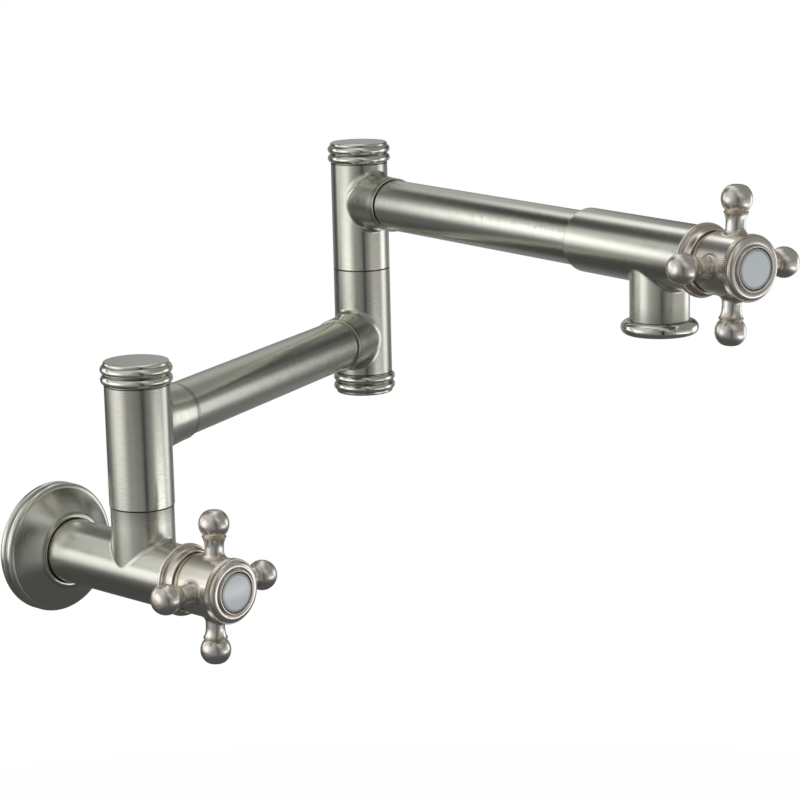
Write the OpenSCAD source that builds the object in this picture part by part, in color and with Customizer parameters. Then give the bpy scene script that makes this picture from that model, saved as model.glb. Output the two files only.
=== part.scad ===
/* [Layout] */
// Distance of the first upright axis from the wall
column_out = 73.3; // [66:0.1:100]
// Height of the first swivel seam above the inlet axis
riser_seam = 32.6; // [30:0.1:60]
// Length of the lower arm between its two upright axes
lower_arm_len = 254.2; // [180:0.1:330]
// Length of the upper arm from the elbow axis to the outlet axis
upper_arm_len = 267.7; // [190:0.1:345]
// Direction of the lower arm at rest, counted from the right towards the wall
lower_arm_turn = 18.7; // [-198:0.1:18.7]
// Direction of the upper arm at rest, counted the same way
upper_arm_turn = -103.2; // [-160:0.1:160]

/* [Body and arms] */
// Radius of the inlet tube and of both valve bodies
body_r = 16.1; // [15:0.1:20]
// Radius of the riser that carries the first swivel
riser_r = 15.6; // [14:0.1:19]
// Radius of the waterways inside the bodies
waterway_r = 8; // [5:0.1:8.5]
// Radius of both arm tubes
arm_r = 13.9; // [11:0.1:14.4]
// Wall of both arm tubes
arm_wall = 1.4; // [0.8:0.1:3]
// How deep an arm tube seats in its socket
tube_seat = 12; // [7:0.1:15]

/* [Swivel sleeves] */
// Outer radius of the three sleeves
sleeve_r = 16; // [15.4:0.1:20]
// From the seam of a sleeve to the axis of its arm
sleeve_low = 39.2; // [34:0.1:55]
// From the axis of the arm to the end that takes the cap
sleeve_high = 20.9; // [19.5:0.1:32]
// Length of the boss from the sleeve axis to its mouth
boss_len = 36; // [32:0.1:50]
// Radius of the passage inside the boss
boss_bore_r = 9; // [6:0.1:9.5]
// Wall of the boss where the arm tube enters
boss_lip = 1; // [0.7:0.1:2]
// Dark seam between a turning sleeve and the piece below it
seam_gap = 0.3; // [0.2:0.05:0.6]

/* [Swivel stems] */
// Radius of the hollow stem on which a sleeve turns
stem_r = 11; // [9:0.1:11.6]
// Wall of the hollow stem
stem_wall = 3.5; // [3:0.1:5]
// Length of stem that is screwed into the riser
stem_foot = 16; // [8:0.1:17]
// Height of the collar on a stem
stem_collar = 1.5; // [1:0.1:3]
// Height of the plain bearing above the collar
bush_h = 3; // [2:0.1:5]
// Radius of each of the four ports in a stem
port_hole_r = 3.2; // [1.5:0.1:4.5]
// Section radius of the stem seals
seal_r = 1; // [0.7:0.05:1.1]
// Height of the retaining nut
swivel_nut_h = 5; // [3:0.1:7]

/* [Sleeve caps] */
// Height of a cap above its sleeve
cap_h = 11.8; // [10.5:0.1:20]
// Section radius of the two beads round a cap
cap_bead_r = 2.35; // [1.2:0.05:2.6]
// How far the beads stand out past the sleeve
cap_bead_out = 1.6; // [0.5:0.1:3]
// Height of the first bead above the sleeve
cap_bead_low = 2.9; // [2.7:0.1:4]
// Height of the second bead above the sleeve
cap_bead_high = 7.9; // [6.5:0.1:9]

/* [Wall flange] */
// Outer radius of the wall flange
flange_r = 33; // [29:0.1:42]
// Distance from the wall to the front edge of the beaded rim
flange_rim_h = 9.2; // [9.2:0.1:13]
// Distance from the wall to the foot of the front lip
flange_face_h = 17.6; // [15:0.1:24]
// Section radius of the bead next to the wall
flange_back_bead = 2.2; // [1.2:0.1:2.4]
// Section radius of the front bead
flange_front_bead = 2.2; // [1.2:0.1:2.2]
// Section radius of the lip round the tube
flange_lip = 2.6; // [1.4:0.1:3]

/* [Wall inlet] */
// Distance from the wall to the open end of the inlet tube
inlet_start = 6; // [0.5:0.1:9]
// Radius of the threaded inlet bore
thread_bore_r = 9.4; // [8.6:0.1:12]
// Depth of the threaded inlet bore
thread_depth = 18; // [12:0.1:22]

/* [Valves] */
// From the front end of a valve body back to its side port
port_back = 28.5; // [27.2:0.1:29]
// Radius of the side port
port_r = 6; // [3:0.1:6.4]
// From the front end of a valve body back to the valve seat
seat_back = 36; // [35:0.1:40]
// Radius of the cartridge
cartridge_r = 9.25; // [8.7:0.05:10]
// Radius of the spindle
spindle_r = 4; // [3:0.05:4.4]
// Outer radius of the trim ring
trim_r = 17.9; // [17.6:0.1:21]
// Length of the trim ring in front of the body
trim_len = 8.2; // [7.8:0.1:9.6]

/* [Handles] */
// Turn of the wall handle at rest, seen from the front
wall_handle_turn = -1.7; // [-45:0.1:45]
// Turn of the spout handle at rest, seen from the front
spout_handle_turn = -3.2; // [-45:0.1:45]
// Radius of the handle hub
hub_r = 15.2; // [14:0.1:18]
// From the end of the valve body to the back of the hub
hub_start = 11.8; // [11.2:0.1:16]
// Length of the hub
hub_len = 20; // [18.5:0.1:26]
// From the back of the hub to the plane of its spokes
spoke_up = 10.2; // [8:0.1:11]
// From the handle axis to the centre of each ball
ball_out = 31; // [28.5:0.1:42]
// Radius of the balls
ball_r = 7.45; // [6.2:0.05:9]
// From the centre of a ball to its flat tip
ball_flat = 6.8; // [5:0.1:7.4]
// Thinnest radius of a spoke
neck_r = 4.7; // [3:0.1:5.2]
// Radius of the thin collar behind each ball
collar_r = 5.7; // [5.3:0.1:7]
// Outer radius of the knurled band over its teeth
bezel_r = 15.9; // [15:0.1:19]
// Length of the knurled band
knurl_len = 2.8; // [2:0.1:4.2]
// Number of teeth in the knurled band
knurl_teeth = 96; // [48:4:120]
// Depth of the knurled teeth
knurl_depth = 0.45; // [0.2:0.05:0.8]
// Radius of the button in the middle of a handle
button_r = 9.5; // [7.5:0.1:10.2]

/* [Spout] */
// From the outlet axis back to the open end of the spout body
spout_back = 56.2; // [54:0.1:80]
// From the outlet axis to the front end of the spout body
spout_reach = 32; // [31:0.1:36]
// Radius of the outlet tube
drop_r = 14.55; // [13.2:0.05:15.6]
// Length of the outlet tube below the axis of the spout body
drop_len = 32.8; // [30:0.1:60]
// Section radius of the polished rim
rim_bead = 3.4; // [2.6:0.1:4]
// How far the middle of the rim stands outside the outlet tube
rim_stand = 0.95; // [0.2:0.05:2]
// Radius of the aerator
aerator_r = 10.15; // [8.5:0.05:10.6]
// Height of the aerator
aerator_h = 9.5; // [6:0.1:14]
// Radius of each hole in the aerator and in the inlet screen
sieve_hole_r = 0.9; // [0.4:0.05:1]

/* [Hidden] */
$fn = 72;
fine_fn = 180;
quarter_turn = 90;
half_turn = 180;
full_turn = 360;

// Named clearances
run_gap = 0.05;
joint_gap = 0.05;
turn_gap = 0.3;
cut_over = 1;

// Small edges
edge_r = 0.6;
soft_edge = 0.9;

// Stem sizes that follow the stem radius
stem_bore_r = stem_r - stem_wall;
thread_step = 2;
thread_r = stem_r - thread_step;
bush_lip = 2.4;
bush_r = stem_r + bush_lip;
bush_top = stem_collar + bush_h;
washer_h = 1.5;
washer_lip = 3.8;
washer_r = thread_r + washer_lip;
nut_lip = 3.5;
nut_r = thread_r + nut_lip;
stem_end_out = 0.6;
stem_blind_wall = 2;
seal_side_gap = 0.15;
groove_r = stem_r - 2 * seal_r - joint_gap;
groove_half = seal_r + seal_side_gap;
slot_w = 3;
slot_depth = 1.6;

// Sleeve sizes
journal_r = stem_r + run_gap;
cavity_lip = 2;
cavity_r = stem_r + cavity_lip;
cavity_margin = 0.7;
cavity_half = boss_bore_r + cavity_margin;
sleeve_len = sleeve_low + sleeve_high;
cap_socket_depth = 3.1;
shoulder = sleeve_len - cap_socket_depth;
washer_top = shoulder + run_gap + washer_h;
nut_top = washer_top + swivel_nut_h;
stem_bore_top = sleeve_low + port_hole_r + stem_blind_wall;
stem_top = nut_top + stem_end_out;
seal_low = (bush_top + sleeve_low - cavity_half) / 2;
seal_high = (sleeve_low + cavity_half + shoulder) / 2;
boss_inset = 0.3;
boss_r = sleeve_r - boss_inset;
boss_mouth_r = arm_r + boss_lip;
boss_taper = 17;
boss_lip_len = 3;
boss_bell_r = (pow(boss_taper, 2) + pow(boss_r - boss_mouth_r, 2)) / (2 * (boss_r - boss_mouth_r));
mouth_gap = 0.45;
mouth_gap_depth = 1;

// Cap sizes
cap_edge = 0.9;
cap_base_over = 0.1;
cap_hollow_gap = 0.7;
cap_hollow_r = nut_r + cap_hollow_gap;
cap_spigot_wall = 1.1;
cap_spigot_r = cap_hollow_r + cap_spigot_wall;
cap_spigot_len = 2.5;
cap_crown_gap = 0.7;
cap_hollow_top = stem_top + cap_crown_gap - sleeve_len;
cap_spanner_h = 1.2;

// Where the two arms and the outlet lie
lower_arm_z = riser_seam + sleeve_low;
elbow_seam = lower_arm_z + sleeve_low;
upper_arm_z = elbow_seam + sleeve_low;
elbow_x = lower_arm_len * cos(lower_arm_turn);
elbow_y = lower_arm_len * sin(lower_arm_turn) - column_out;
outlet_x = elbow_x + upper_arm_len * cos(upper_arm_turn);
outlet_y = elbow_y + upper_arm_len * sin(upper_arm_turn);
tube_start = boss_len - tube_seat;

// Flange sizes
flange_hole_gap = 0.4;
flange_hole_r = body_r + flange_hole_gap;
flange_neck_wall = 2.9;
flange_neck_r = flange_hole_r + flange_neck_wall;
flange_land = 1.1;
flange_back_at = 2.4;
flange_front_at = 6.9;
flange_step = 2.4;
flange_face_wall = 2.6;
flange_rim_wall = 4.1;
flange_hollow_r = flange_r - flange_rim_wall;
flange_pocket_step = 1.7;
flange_face_r = flange_r - flange_step;
cone_run = flange_face_r - flange_neck_r;
cone_rise = flange_face_h - flange_rim_h;
cone_len = sqrt(pow(cone_run, 2) + pow(cone_rise, 2));
cone_out = cone_rise / cone_len;
cone_up = cone_run / cone_len;
flange_lip_in = 1.1;
flange_lip_mid = flange_hole_r + flange_lip_in;
flange_lip_at = flange_face_h + ((flange_neck_r - flange_lip_mid) * cone_out - flange_lip) / cone_up;
flange_seal_r = 1;
flange_seal_back = 3.2;
flange_seal_at = flange_face_h - flange_seal_back;
gasket_h = 1.5;
gasket_w = 3.6;
flange_mouth_depth = 1;

// Inlet sizes
screen_h = 1.2;
screen_rim = 1.2;
screen_step = 0.6;
screen_r = thread_bore_r - screen_step;
screen_top = inlet_start + thread_depth + screen_h;
seat_web = 3;
seat_lip = 2.75;
seat_hole_r = cartridge_r - seat_lip;

// Valve sizes, counted forwards from the front end of the body
valve_bore_r = cartridge_r + joint_gap;
seat_seal_h = 2;
disc_h = 2.5;
disc_from = seat_seal_h - seat_back;
disc_hole_r = 2;
disc_hole_out = 4.4;
cartridge_wall = 1;
cartridge_cavity_r = cartridge_r - cartridge_wall;
moving_disc_gap = 0.35;
moving_disc_r = cartridge_cavity_r - moving_disc_gap;
moving_disc_from = disc_from + disc_h + run_gap;
driver_h = 2;
driver_r = moving_disc_r - moving_disc_gap;
driver_from = moving_disc_from + disc_h;
driver_slot_w = 4;
driver_top = driver_from + driver_h;
window_gap = 0.4;
window_h = 5;
window_w = 7;
window_from = driver_top + window_gap;
cavity_roof = 1;
cavity_top = window_from + window_h + cavity_roof;
nut_socket = 6;
cartridge_flange_h = 3;
socket_lip = 2.95;
socket_insert_r = cartridge_r + socket_lip;
bonnet_collar_r = 11;
bonnet_collar_top = 6.1;
bonnet_hex_h = 2;
bonnet_top = bonnet_collar_top + bonnet_hex_h;
bonnet_neck_r = 7.5;
bonnet_neck_top = 9.4;
trim_seam = 0.3;
trim_groove_out = 0.3;
trim_groove_r = body_r + trim_groove_out;
trim_bead_r = 1;
trim_bead_at = 1.3;
trim_foot_from = 2.6;
trim_foot_h = 0.4;
trim_foot_in = 0.6;
trim_floor = 6.1;
trim_lip_in = 2.4;
trim_lip_w = 0.9;
trim_lip_r = trim_r - trim_lip_in;
trim_cove_r = 2.6;
trim_cove_run = trim_lip_r + trim_cove_r - trim_r + trim_foot_in;
trim_cove_at = trim_foot_from + trim_foot_h + sqrt(pow(trim_cove_r, 2) - pow(trim_cove_run, 2));

// Handle sizes, counted from the same end of the body
hub_top = hub_start + hub_len;
spoke_at = hub_start + spoke_up;
drive_flat_share = 1.5;
drive_flat = spindle_r * drive_flat_share;
hub_web_h = 1;
screw_seat_down = 6.3;
screw_seat = hub_top - screw_seat_down;
screw_head_h = 2.6;
screw_head_r = 4.4;
screw_pocket_gap = 1;
screw_shank_r = 1.9;
screw_hole_gap = 0.1;
screw_len = 11;
screw_hex_r = 1.9;
screw_hex_depth = 1.5;
spindle_hole_depth = 11.5;
hub_socket_r_share = 0.72;
bezel_spigot_r = hub_r * hub_socket_r_share;
bezel_spigot_h = 3.2;
bezel_spigot_wall = 2.6;
bezel_floor = 1.7;
bezel_gap = 0.4;
bezel_hole_r = button_r + bezel_gap;
bezel_lip_w = 1.7;
bezel_lip_h = 1.2;
bezel_shoulder_r = 2.6;
bezel_shoulder_in = 0.3;
bezel_top = 6.2;
button_h = 4.1;
button_dome = 0.5;
button_edge = 0.4;
fillet_r = 3;
hub_chamfer = 0.5;
skirt_step = 1.6;
skirt_side_gap = 1;
skirt_floor_gap = 0.6;
skirt_bore_gap = 0.7;
skirt_r = min(hub_r - skirt_step, trim_lip_r - trim_lip_w - skirt_side_gap);
skirt_bore_r = bonnet_collar_r + skirt_bore_gap;
skirt_from = trim_floor + skirt_floor_gap;
collar_h = 1.4;
collar_back = 6.1;
neck_taper = 0.5;

// Spout sizes
port_web = 3.2;
drop_bore_gap = 0.1;
rim_spigot_h = 6;
rim_spigot_wall = 1.3;
rim_bore_r = aerator_r + joint_gap;
rim_socket_r = rim_bore_r + rim_spigot_wall;
rim_foot = 2.6;
rim_stop_h = 1;
rim_stop_in = 0.6;
aerator_plate = 1.6;
aerator_wall = 1.2;
drop_step = 0.4;
drop_waterway_r = aerator_r - drop_step;
drop_washer_h = 1.5;
drop_washer_w = 3;
drop_socket_gap = 0.5;
sieve_pitch_share = 2.6;
sieve_pitch = sieve_hole_r * sieve_pitch_share;
sieve_first = 6;

// Colours
nickel = [0.62, 0.61, 0.57];
warm_nickel = [0.64, 0.6, 0.54];
polished = [0.78, 0.77, 0.74];
brass = [0.78, 0.64, 0.36];
rubber = [0.12, 0.12, 0.12];
ceramic = [0.9, 0.9, 0.88];
polymer = [0.86, 0.86, 0.83];
steel = [0.6, 0.6, 0.62];
glaze = [0.78, 0.82, 0.86];

// Turned shape from a flat outline of radius and height
module turned() {
    rotate_extrude(convexity = 8)
        children();
}

// Flat band between two radii and two heights
module band(r_in, r_out, from, to) {
    translate([r_in, from])
        square([r_out - r_in, to - from]);
}

// Flat band with its outer corners rounded at the bottom, the top or both
module soft_band(r_in, r_out, from, to, low_edge, high_edge) {
    band(r_in, r_out - max(low_edge, high_edge), from, to);
    band(r_in, r_out, from + low_edge, to - high_edge);
    if (low_edge > 0)
        intersection() {
            translate([r_out - low_edge, from + low_edge])
                circle(low_edge);
            band(r_out - max(low_edge, high_edge), r_out + cut_over, from, from + low_edge);
        }
    if (high_edge > 0)
        intersection() {
            translate([r_out - high_edge, to - high_edge])
                circle(high_edge);
            band(r_out - max(low_edge, high_edge), r_out + cut_over, to - high_edge, to);
        }
}

// Round hole or shaft between two heights
module bar(r, from, to) {
    translate([0, 0, from])
        cylinder(r = r, h = to - from);
}

// Round seal between two radii
module seal(inner_r, section_r) {
    turned()
        translate([inner_r + section_r, 0])
            circle(section_r);
}

// Places

module at_column(height) {
    translate([0, -column_out, height])
        children();
}

module at_elbow(height) {
    translate([elbow_x, elbow_y, height])
        children();
}

module at_outlet(height) {
    translate([outlet_x, outlet_y, height])
        children();
}

// Axis out of the wall, with heights counted as distances from the wall
module from_wall() {
    rotate([quarter_turn, 0, 0])
        children();
}

// Front end of the wall valve, axis forwards
module at_wall_valve() {
    from_wall()
        translate([0, 0, column_out + port_back])
            children();
}

// Outlet axis with its body axis forwards
module along_spout() {
    at_outlet(upper_arm_z)
        rotate([0, 0, upper_arm_turn + quarter_turn])
            rotate([quarter_turn, 0, 0])
                children();
}

// Front end of the spout valve, axis forwards
module at_spout_valve() {
    along_spout()
        translate([0, 0, spout_reach])
            children();
}

module wall_handle_place() {
    at_wall_valve()
        rotate([0, 0, wall_handle_turn])
            children();
}

module spout_handle_place() {
    at_spout_valve()
        rotate([0, 0, spout_handle_turn])
            children();
}

// Swivel sleeve: seam end at zero, cap end up, arm boss along the first axis

module boss_outline() {
    difference() {
        band(0, boss_r, 0, boss_len - boss_lip_len);
        translate([boss_mouth_r + boss_bell_r, boss_len - boss_lip_len])
            circle(boss_bell_r, $fn = fine_fn);
    }
    soft_band(0, boss_mouth_r, boss_len - boss_lip_len, boss_len, 0, boss_lip - joint_gap - mouth_gap);
}

module sleeve(running) {
    seam_end = running ? seam_gap : 0;
    difference() {
        union() {
            turned()
                soft_band(0, sleeve_r, seam_end, sleeve_len, edge_r / 2, edge_r / 2);
            translate([0, 0, sleeve_low])
                rotate([0, quarter_turn, 0])
                    turned()
                        boss_outline();
        }
        bar(journal_r, -cut_over, sleeve_len + cut_over);
        if (running)
            bar(bush_r + turn_gap, -cut_over, bush_top + run_gap);
        bar(cavity_r, sleeve_low - cavity_half, sleeve_low + cavity_half);
        bar(cap_spigot_r + joint_gap, shoulder, sleeve_len + cut_over);
        translate([0, 0, sleeve_low])
            rotate([0, quarter_turn, 0]) {
                bar(boss_bore_r, 0, tube_start + cut_over);
                bar(arm_r + joint_gap, tube_start, boss_len + cut_over);
                bar(arm_r + joint_gap + mouth_gap, boss_len - mouth_gap_depth, boss_len + cut_over);
            }
    }
}

// Hollow stem: seam at zero, a threaded end up
module stem_upper() {
    difference() {
        union() {
            bar(stem_r, 0, shoulder + run_gap);
            bar(bush_r, 0, stem_collar);
            bar(thread_r, 0, stem_top);
        }
        for (level = [seal_low, seal_high])
            seal_groove(level);
        for (turn = [0, quarter_turn])
            translate([0, 0, sleeve_low])
                rotate([0, quarter_turn, turn])
                    bar(port_hole_r, -bush_r, bush_r);
    }
}

module seal_groove(level) {
    turned()
        band(groove_r, stem_r + cut_over, level - groove_half, level + groove_half);
}

// Inner seal of a sleeve, seated in its groove
module stem_seal(level) {
    translate([0, 0, level])
        seal(stem_r - 2 * seal_r, seal_r);
}

module bush() {
    turned()
        band(stem_r + joint_gap, bush_r, stem_collar, bush_top);
}

module washer() {
    turned()
        band(thread_r + joint_gap, washer_r, shoulder + run_gap, washer_top);
}

// Round nut with two slots for a pin spanner
module swivel_nut_shape() {
    difference() {
        turned()
            soft_band(thread_r + joint_gap, nut_r, washer_top, nut_top, 0, edge_r);
        translate([-nut_r - cut_over, -slot_w / 2, nut_top - slot_depth])
            cube([2 * (nut_r + cut_over), slot_w, slot_depth + cut_over]);
    }
}

// Cap with two round beads, seated on the end of a sleeve
module cap() {
    translate([0, 0, sleeve_len])
        difference() {
            turned() {
                difference() {
                    union() {
                        band(0, sleeve_r, seam_gap, cap_bead_low);
                        soft_band(0, sleeve_r + cap_base_over, cap_bead_low, cap_h, 0, cap_edge);
                        for (level = [cap_bead_low, cap_bead_high])
                            intersection() {
                                translate([sleeve_r + cap_bead_out - cap_bead_r, level])
                                    circle(cap_bead_r);
                                band(0, sleeve_r + 2 * cap_bead_out, seam_gap, cap_h - cap_edge);
                            }
                        band(0, cap_spigot_r, -cap_spigot_len, cap_bead_low);
                    }
                    band(-cut_over, cap_hollow_r, -cap_spigot_len - cut_over, cap_hollow_top);
                }
            }
        }
}

// Arm tube along the first axis between two sockets
module arm_tube(from, to) {
    rotate([0, quarter_turn, 0])
        turned()
            band(arm_r - arm_wall, arm_r, from, to);
}

// Ring of round holes round a middle hole, as in a sieve
module sieve_holes(outer_r, from, to) {
    rings = floor((outer_r - sieve_hole_r) / sieve_pitch);
    bar(sieve_hole_r, from, to);
    for (ring = [1 : min(rings, 2)])
        for (k = [0 : sieve_first * ring - 1])
            rotate([0, 0, k * full_turn / (sieve_first * ring)])
                translate([ring * sieve_pitch, 0, 0])
                    bar(sieve_hole_r, from, to);
}

// Valve pieces, counted forwards from the front end of the body

// Everything that is cut out of a body for its valve
module valve_cut() {
    bar(valve_bore_r, -seat_back, cut_over);
    bar(socket_insert_r + joint_gap, -nut_socket, cut_over);
    bar(seat_hole_r, -seat_back - seat_web - cut_over, -seat_back + cut_over);
}

module seat_seal() {
    turned()
        band(seat_hole_r, cartridge_r - joint_gap, -seat_back, disc_from);
}

module disc_holes(from, to) {
    for (side = [-1, 1])
        translate([side * disc_hole_out, 0, 0])
            bar(disc_hole_r, from, to);
}

module fixed_disc() {
    difference() {
        bar(cartridge_cavity_r - joint_gap, disc_from, disc_from + disc_h);
        disc_holes(disc_from - cut_over, disc_from + disc_h + cut_over);
    }
}

module moving_disc() {
    difference() {
        bar(moving_disc_r, moving_disc_from, moving_disc_from + disc_h);
        rotate([0, 0, quarter_turn])
            disc_holes(moving_disc_from - cut_over, driver_from + cut_over);
    }
}

module cartridge() {
    difference() {
        turned() {
            band(spindle_r + run_gap, cartridge_r, disc_from, -cartridge_flange_h);
            band(spindle_r + run_gap, socket_insert_r, -nut_socket, -cartridge_flange_h);
            soft_band(spindle_r + run_gap, bonnet_neck_r, -nut_socket, bonnet_neck_top, 0, edge_r);
        }
        bar(cartridge_cavity_r, disc_from - cut_over, cavity_top);
        for (turn = [0, quarter_turn])
            rotate([0, 0, turn])
                translate([-cartridge_r - cut_over, -window_w / 2, window_from])
                    cube([2 * (cartridge_r + cut_over), window_w, window_h]);
    }
}

module bonnet_nut() {
    difference() {
        union() {
            bar(socket_insert_r, -cartridge_flange_h, 0);
            bar(bonnet_collar_r, -cartridge_flange_h, bonnet_collar_top);
            translate([0, 0, bonnet_collar_top])
                cylinder(r = bonnet_collar_r, h = bonnet_hex_h, $fn = 6);
        }
        bar(bonnet_neck_r + joint_gap, -cartridge_flange_h - cut_over, bonnet_top + cut_over);
    }
}

module trim_ring() {
    bore = bonnet_collar_r + joint_gap;
    bead_mid = trim_r - trim_bead_r;
    turned() {
        band(bore, trim_groove_r, trim_seam, trim_foot_from + trim_foot_h);
        band(bore, bead_mid, trim_bead_at - trim_bead_r / 2, trim_bead_at + trim_bead_r / 2);
        translate([bead_mid, trim_bead_at])
            circle(trim_bead_r);
        difference() {
            band(bore, trim_r - trim_foot_in, trim_foot_from, trim_cove_at);
            translate([trim_lip_r + trim_cove_r, trim_cove_at])
                circle(trim_cove_r);
        }
        band(bore, trim_lip_r, trim_foot_from, trim_floor);
        band(trim_lip_r - trim_lip_w, trim_lip_r, trim_foot_from, trim_len);
    }
}

// Handle pieces, counted from the same end

module spindle() {
    difference() {
        union() {
            bar(spindle_r, driver_from, hub_start);
            bar(driver_r, driver_from, driver_top);
            intersection() {
                bar(spindle_r, hub_start - cut_over, screw_seat - hub_web_h);
                translate([-drive_flat / 2, -drive_flat / 2, 0])
                    cube([drive_flat, drive_flat, hub_top]);
            }
        }
        bar(screw_shank_r + screw_hole_gap, screw_seat - hub_web_h - spindle_hole_depth, hub_top);
        for (side = [-1, 1])
            translate([side * driver_r - driver_slot_w / 2, -driver_slot_w / 2, driver_from - cut_over])
                cube([driver_slot_w, driver_slot_w, driver_h + 2 * cut_over]);
    }
}

// One spoke with its collar and ball, pointing along the height axis
module spoke() {
    root = sqrt(pow(hub_r, 2) - pow(neck_r + fillet_r, 2));
    neck_from = root + fillet_r;
    collar_at = ball_out - collar_back;
    turned() {
        difference() {
            band(0, neck_r + fillet_r, hub_r / 2, neck_from);
            translate([neck_r + fillet_r, neck_from])
                circle(fillet_r);
        }
        polygon([
            [0, hub_r / 2],
            [neck_r, hub_r / 2],
            [neck_r, neck_from],
            [neck_r + neck_taper, collar_at],
            [neck_r + neck_taper, ball_out],
            [0, ball_out]
        ]);
        band(0, collar_r - collar_h / 2, collar_at - collar_h / 2, collar_at + collar_h / 2);
        translate([collar_r - collar_h / 2, collar_at])
            circle(collar_h / 2);
        intersection() {
            translate([0, ball_out])
                circle(ball_r);
            band(0, ball_r + cut_over, ball_out - ball_r, ball_out + ball_flat);
        }
    }
}

module cross() {
    socket_half = drive_flat / 2 + joint_gap;
    difference() {
        union() {
            translate([0, 0, hub_start])
                cylinder(r1 = hub_r - hub_chamfer, r2 = hub_r, h = hub_chamfer);
            bar(hub_r, hub_start + hub_chamfer, hub_top);
            bar(skirt_r, skirt_from, hub_start + hub_chamfer);
            for (k = [0 : 3])
                translate([0, 0, spoke_at])
                    rotate([0, quarter_turn, k * quarter_turn])
                        spoke();
        }
        translate([-socket_half, -socket_half, hub_start - cut_over])
            cube([2 * socket_half, 2 * socket_half, screw_seat - hub_web_h - hub_start + cut_over]);
        bar(skirt_bore_r, skirt_from - cut_over, hub_start);
        bar(screw_shank_r + screw_hole_gap, hub_start, hub_top);
        bar(screw_head_r + screw_pocket_gap, screw_seat, hub_top + cut_over);
        bar(bezel_spigot_r + joint_gap, hub_top - bezel_spigot_h - joint_gap, hub_top + cut_over);
    }
}

module handle_screw() {
    difference() {
        union() {
            bar(screw_shank_r, screw_seat - screw_len, screw_seat);
            turned()
                soft_band(0, screw_head_r, screw_seat, screw_seat + screw_head_h, 0, edge_r);
        }
        translate([0, 0, screw_seat + screw_head_h - screw_hex_depth])
            cylinder(r = screw_hex_r, h = screw_hex_depth + cut_over, $fn = 6);
    }
}

// Toothed band: one outline whose points step in and out round the circle
module knurl(from, to) {
    translate([0, 0, from])
        linear_extrude(height = to - from)
            polygon([
                for (k = [0 : 2 * knurl_teeth - 1])
                    let (r = bezel_r - (k % 2) * knurl_depth, turn = k * half_turn / knurl_teeth)
                        [r * cos(turn), r * sin(turn)]
            ]);
}

module bezel() {
    shoulder_r = bezel_r - knurl_depth - bezel_shoulder_in;
    shoulder_top = bezel_top - bezel_lip_h;
    lip_mid = bezel_hole_r + bezel_lip_w / 2;
    translate([0, 0, hub_top])
        difference() {
            union() {
                knurl(0, knurl_len);
                turned() {
                    soft_band(0, shoulder_r, knurl_len / 2, shoulder_top, 0, bezel_shoulder_r);
                    band(0, lip_mid + bezel_lip_w / 2, knurl_len, bezel_top - bezel_lip_w / 2);
                    translate([lip_mid, bezel_top - bezel_lip_w / 2])
                        circle(bezel_lip_w / 2);
                    band(0, bezel_spigot_r, -bezel_spigot_h, knurl_len / 2);
                }
            }
            bar(bezel_hole_r, bezel_floor, bezel_top + cut_over);
            bar(bezel_spigot_r - bezel_spigot_wall, -bezel_spigot_h - cut_over, 0);
        }
}

module button() {
    dome_r = (pow(button_r, 2) + pow(button_dome, 2)) / (2 * button_dome);
    top = bezel_floor + joint_gap + button_h;
    translate([0, 0, hub_top])
        intersection() {
            turned()
                soft_band(0, button_r, bezel_floor + joint_gap, top + button_dome, 0, button_edge);
            translate([0, 0, top + button_dome - dome_r])
                sphere(dome_r, $fn = fine_fn);
        }
}

// Body fixed to the wall

module inlet_body() {
    color(nickel)
        difference() {
            union() {
                from_wall()
                    turned()
                        soft_band(0, body_r, inlet_start, column_out + port_back, edge_r, edge_r / 2);
                at_column(0)
                    turned()
                        soft_band(0, riser_r, 0, riser_seam, 0, edge_r / 2);
            }
            from_wall() {
                bar(thread_bore_r, inlet_start - cut_over, inlet_start + thread_depth);
                bar(screen_r + joint_gap, inlet_start, screen_top);
                bar(waterway_r, inlet_start, column_out + port_back - seat_back - seat_web);
            }
            at_wall_valve()
                valve_cut();
            at_column(0) {
                bar(port_r, 0, riser_seam);
                bar(stem_bore_r, valve_bore_r + cut_over, riser_seam);
                bar(stem_r + joint_gap, riser_seam - stem_foot - joint_gap, riser_seam + cut_over);
            }
        }
}

module flange_outline() {
    seal_out = flange_hole_r + flange_seal_r;
    seal_half = flange_seal_r + seal_side_gap;
    pocket_r = flange_hollow_r - flange_pocket_step;
    difference() {
        union() {
            polygon([
                [flange_hole_r, 0],
                [flange_face_r, 0],
                [flange_face_r, flange_rim_h],
                [flange_lip_mid + flange_lip * cone_out, flange_lip_at + flange_lip * cone_up],
                [flange_lip_mid, flange_lip_at],
                [flange_hole_r, flange_lip_at]
            ]);
            translate([flange_lip_mid, flange_lip_at])
                circle(flange_lip);
            band(flange_hole_r, flange_r - flange_back_bead, 0, flange_rim_h);
            band(flange_hole_r, flange_r - flange_land, flange_back_at, flange_front_at);
            band(flange_hole_r, flange_r - flange_back_bead + soft_edge, 0, flange_back_at);
            translate([flange_r - flange_back_bead, flange_back_at])
                circle(flange_back_bead);
            intersection() {
                translate([flange_r - flange_front_bead, flange_front_at])
                    circle(flange_front_bead);
                band(flange_hole_r, flange_r + cut_over, 0, flange_rim_h);
            }
        }
        band(flange_neck_r, pocket_r, -cut_over, flange_rim_h - flange_face_wall);
        band(flange_neck_r, flange_hollow_r, -cut_over, gasket_h);
        band(0, seal_out, flange_seal_at - seal_half, flange_seal_at + seal_half);
        band(0, flange_hole_r, -cut_over, flange_face_h + 2 * flange_lip + cut_over);
    }
}

module wall_flange() {
    color(nickel)
        from_wall()
            turned()
                flange_outline();
}

module flange_gasket() {
    color(rubber)
        from_wall()
            turned()
                band(flange_hollow_r - gasket_w, flange_hollow_r - joint_gap, 0, gasket_h);
}

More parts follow.
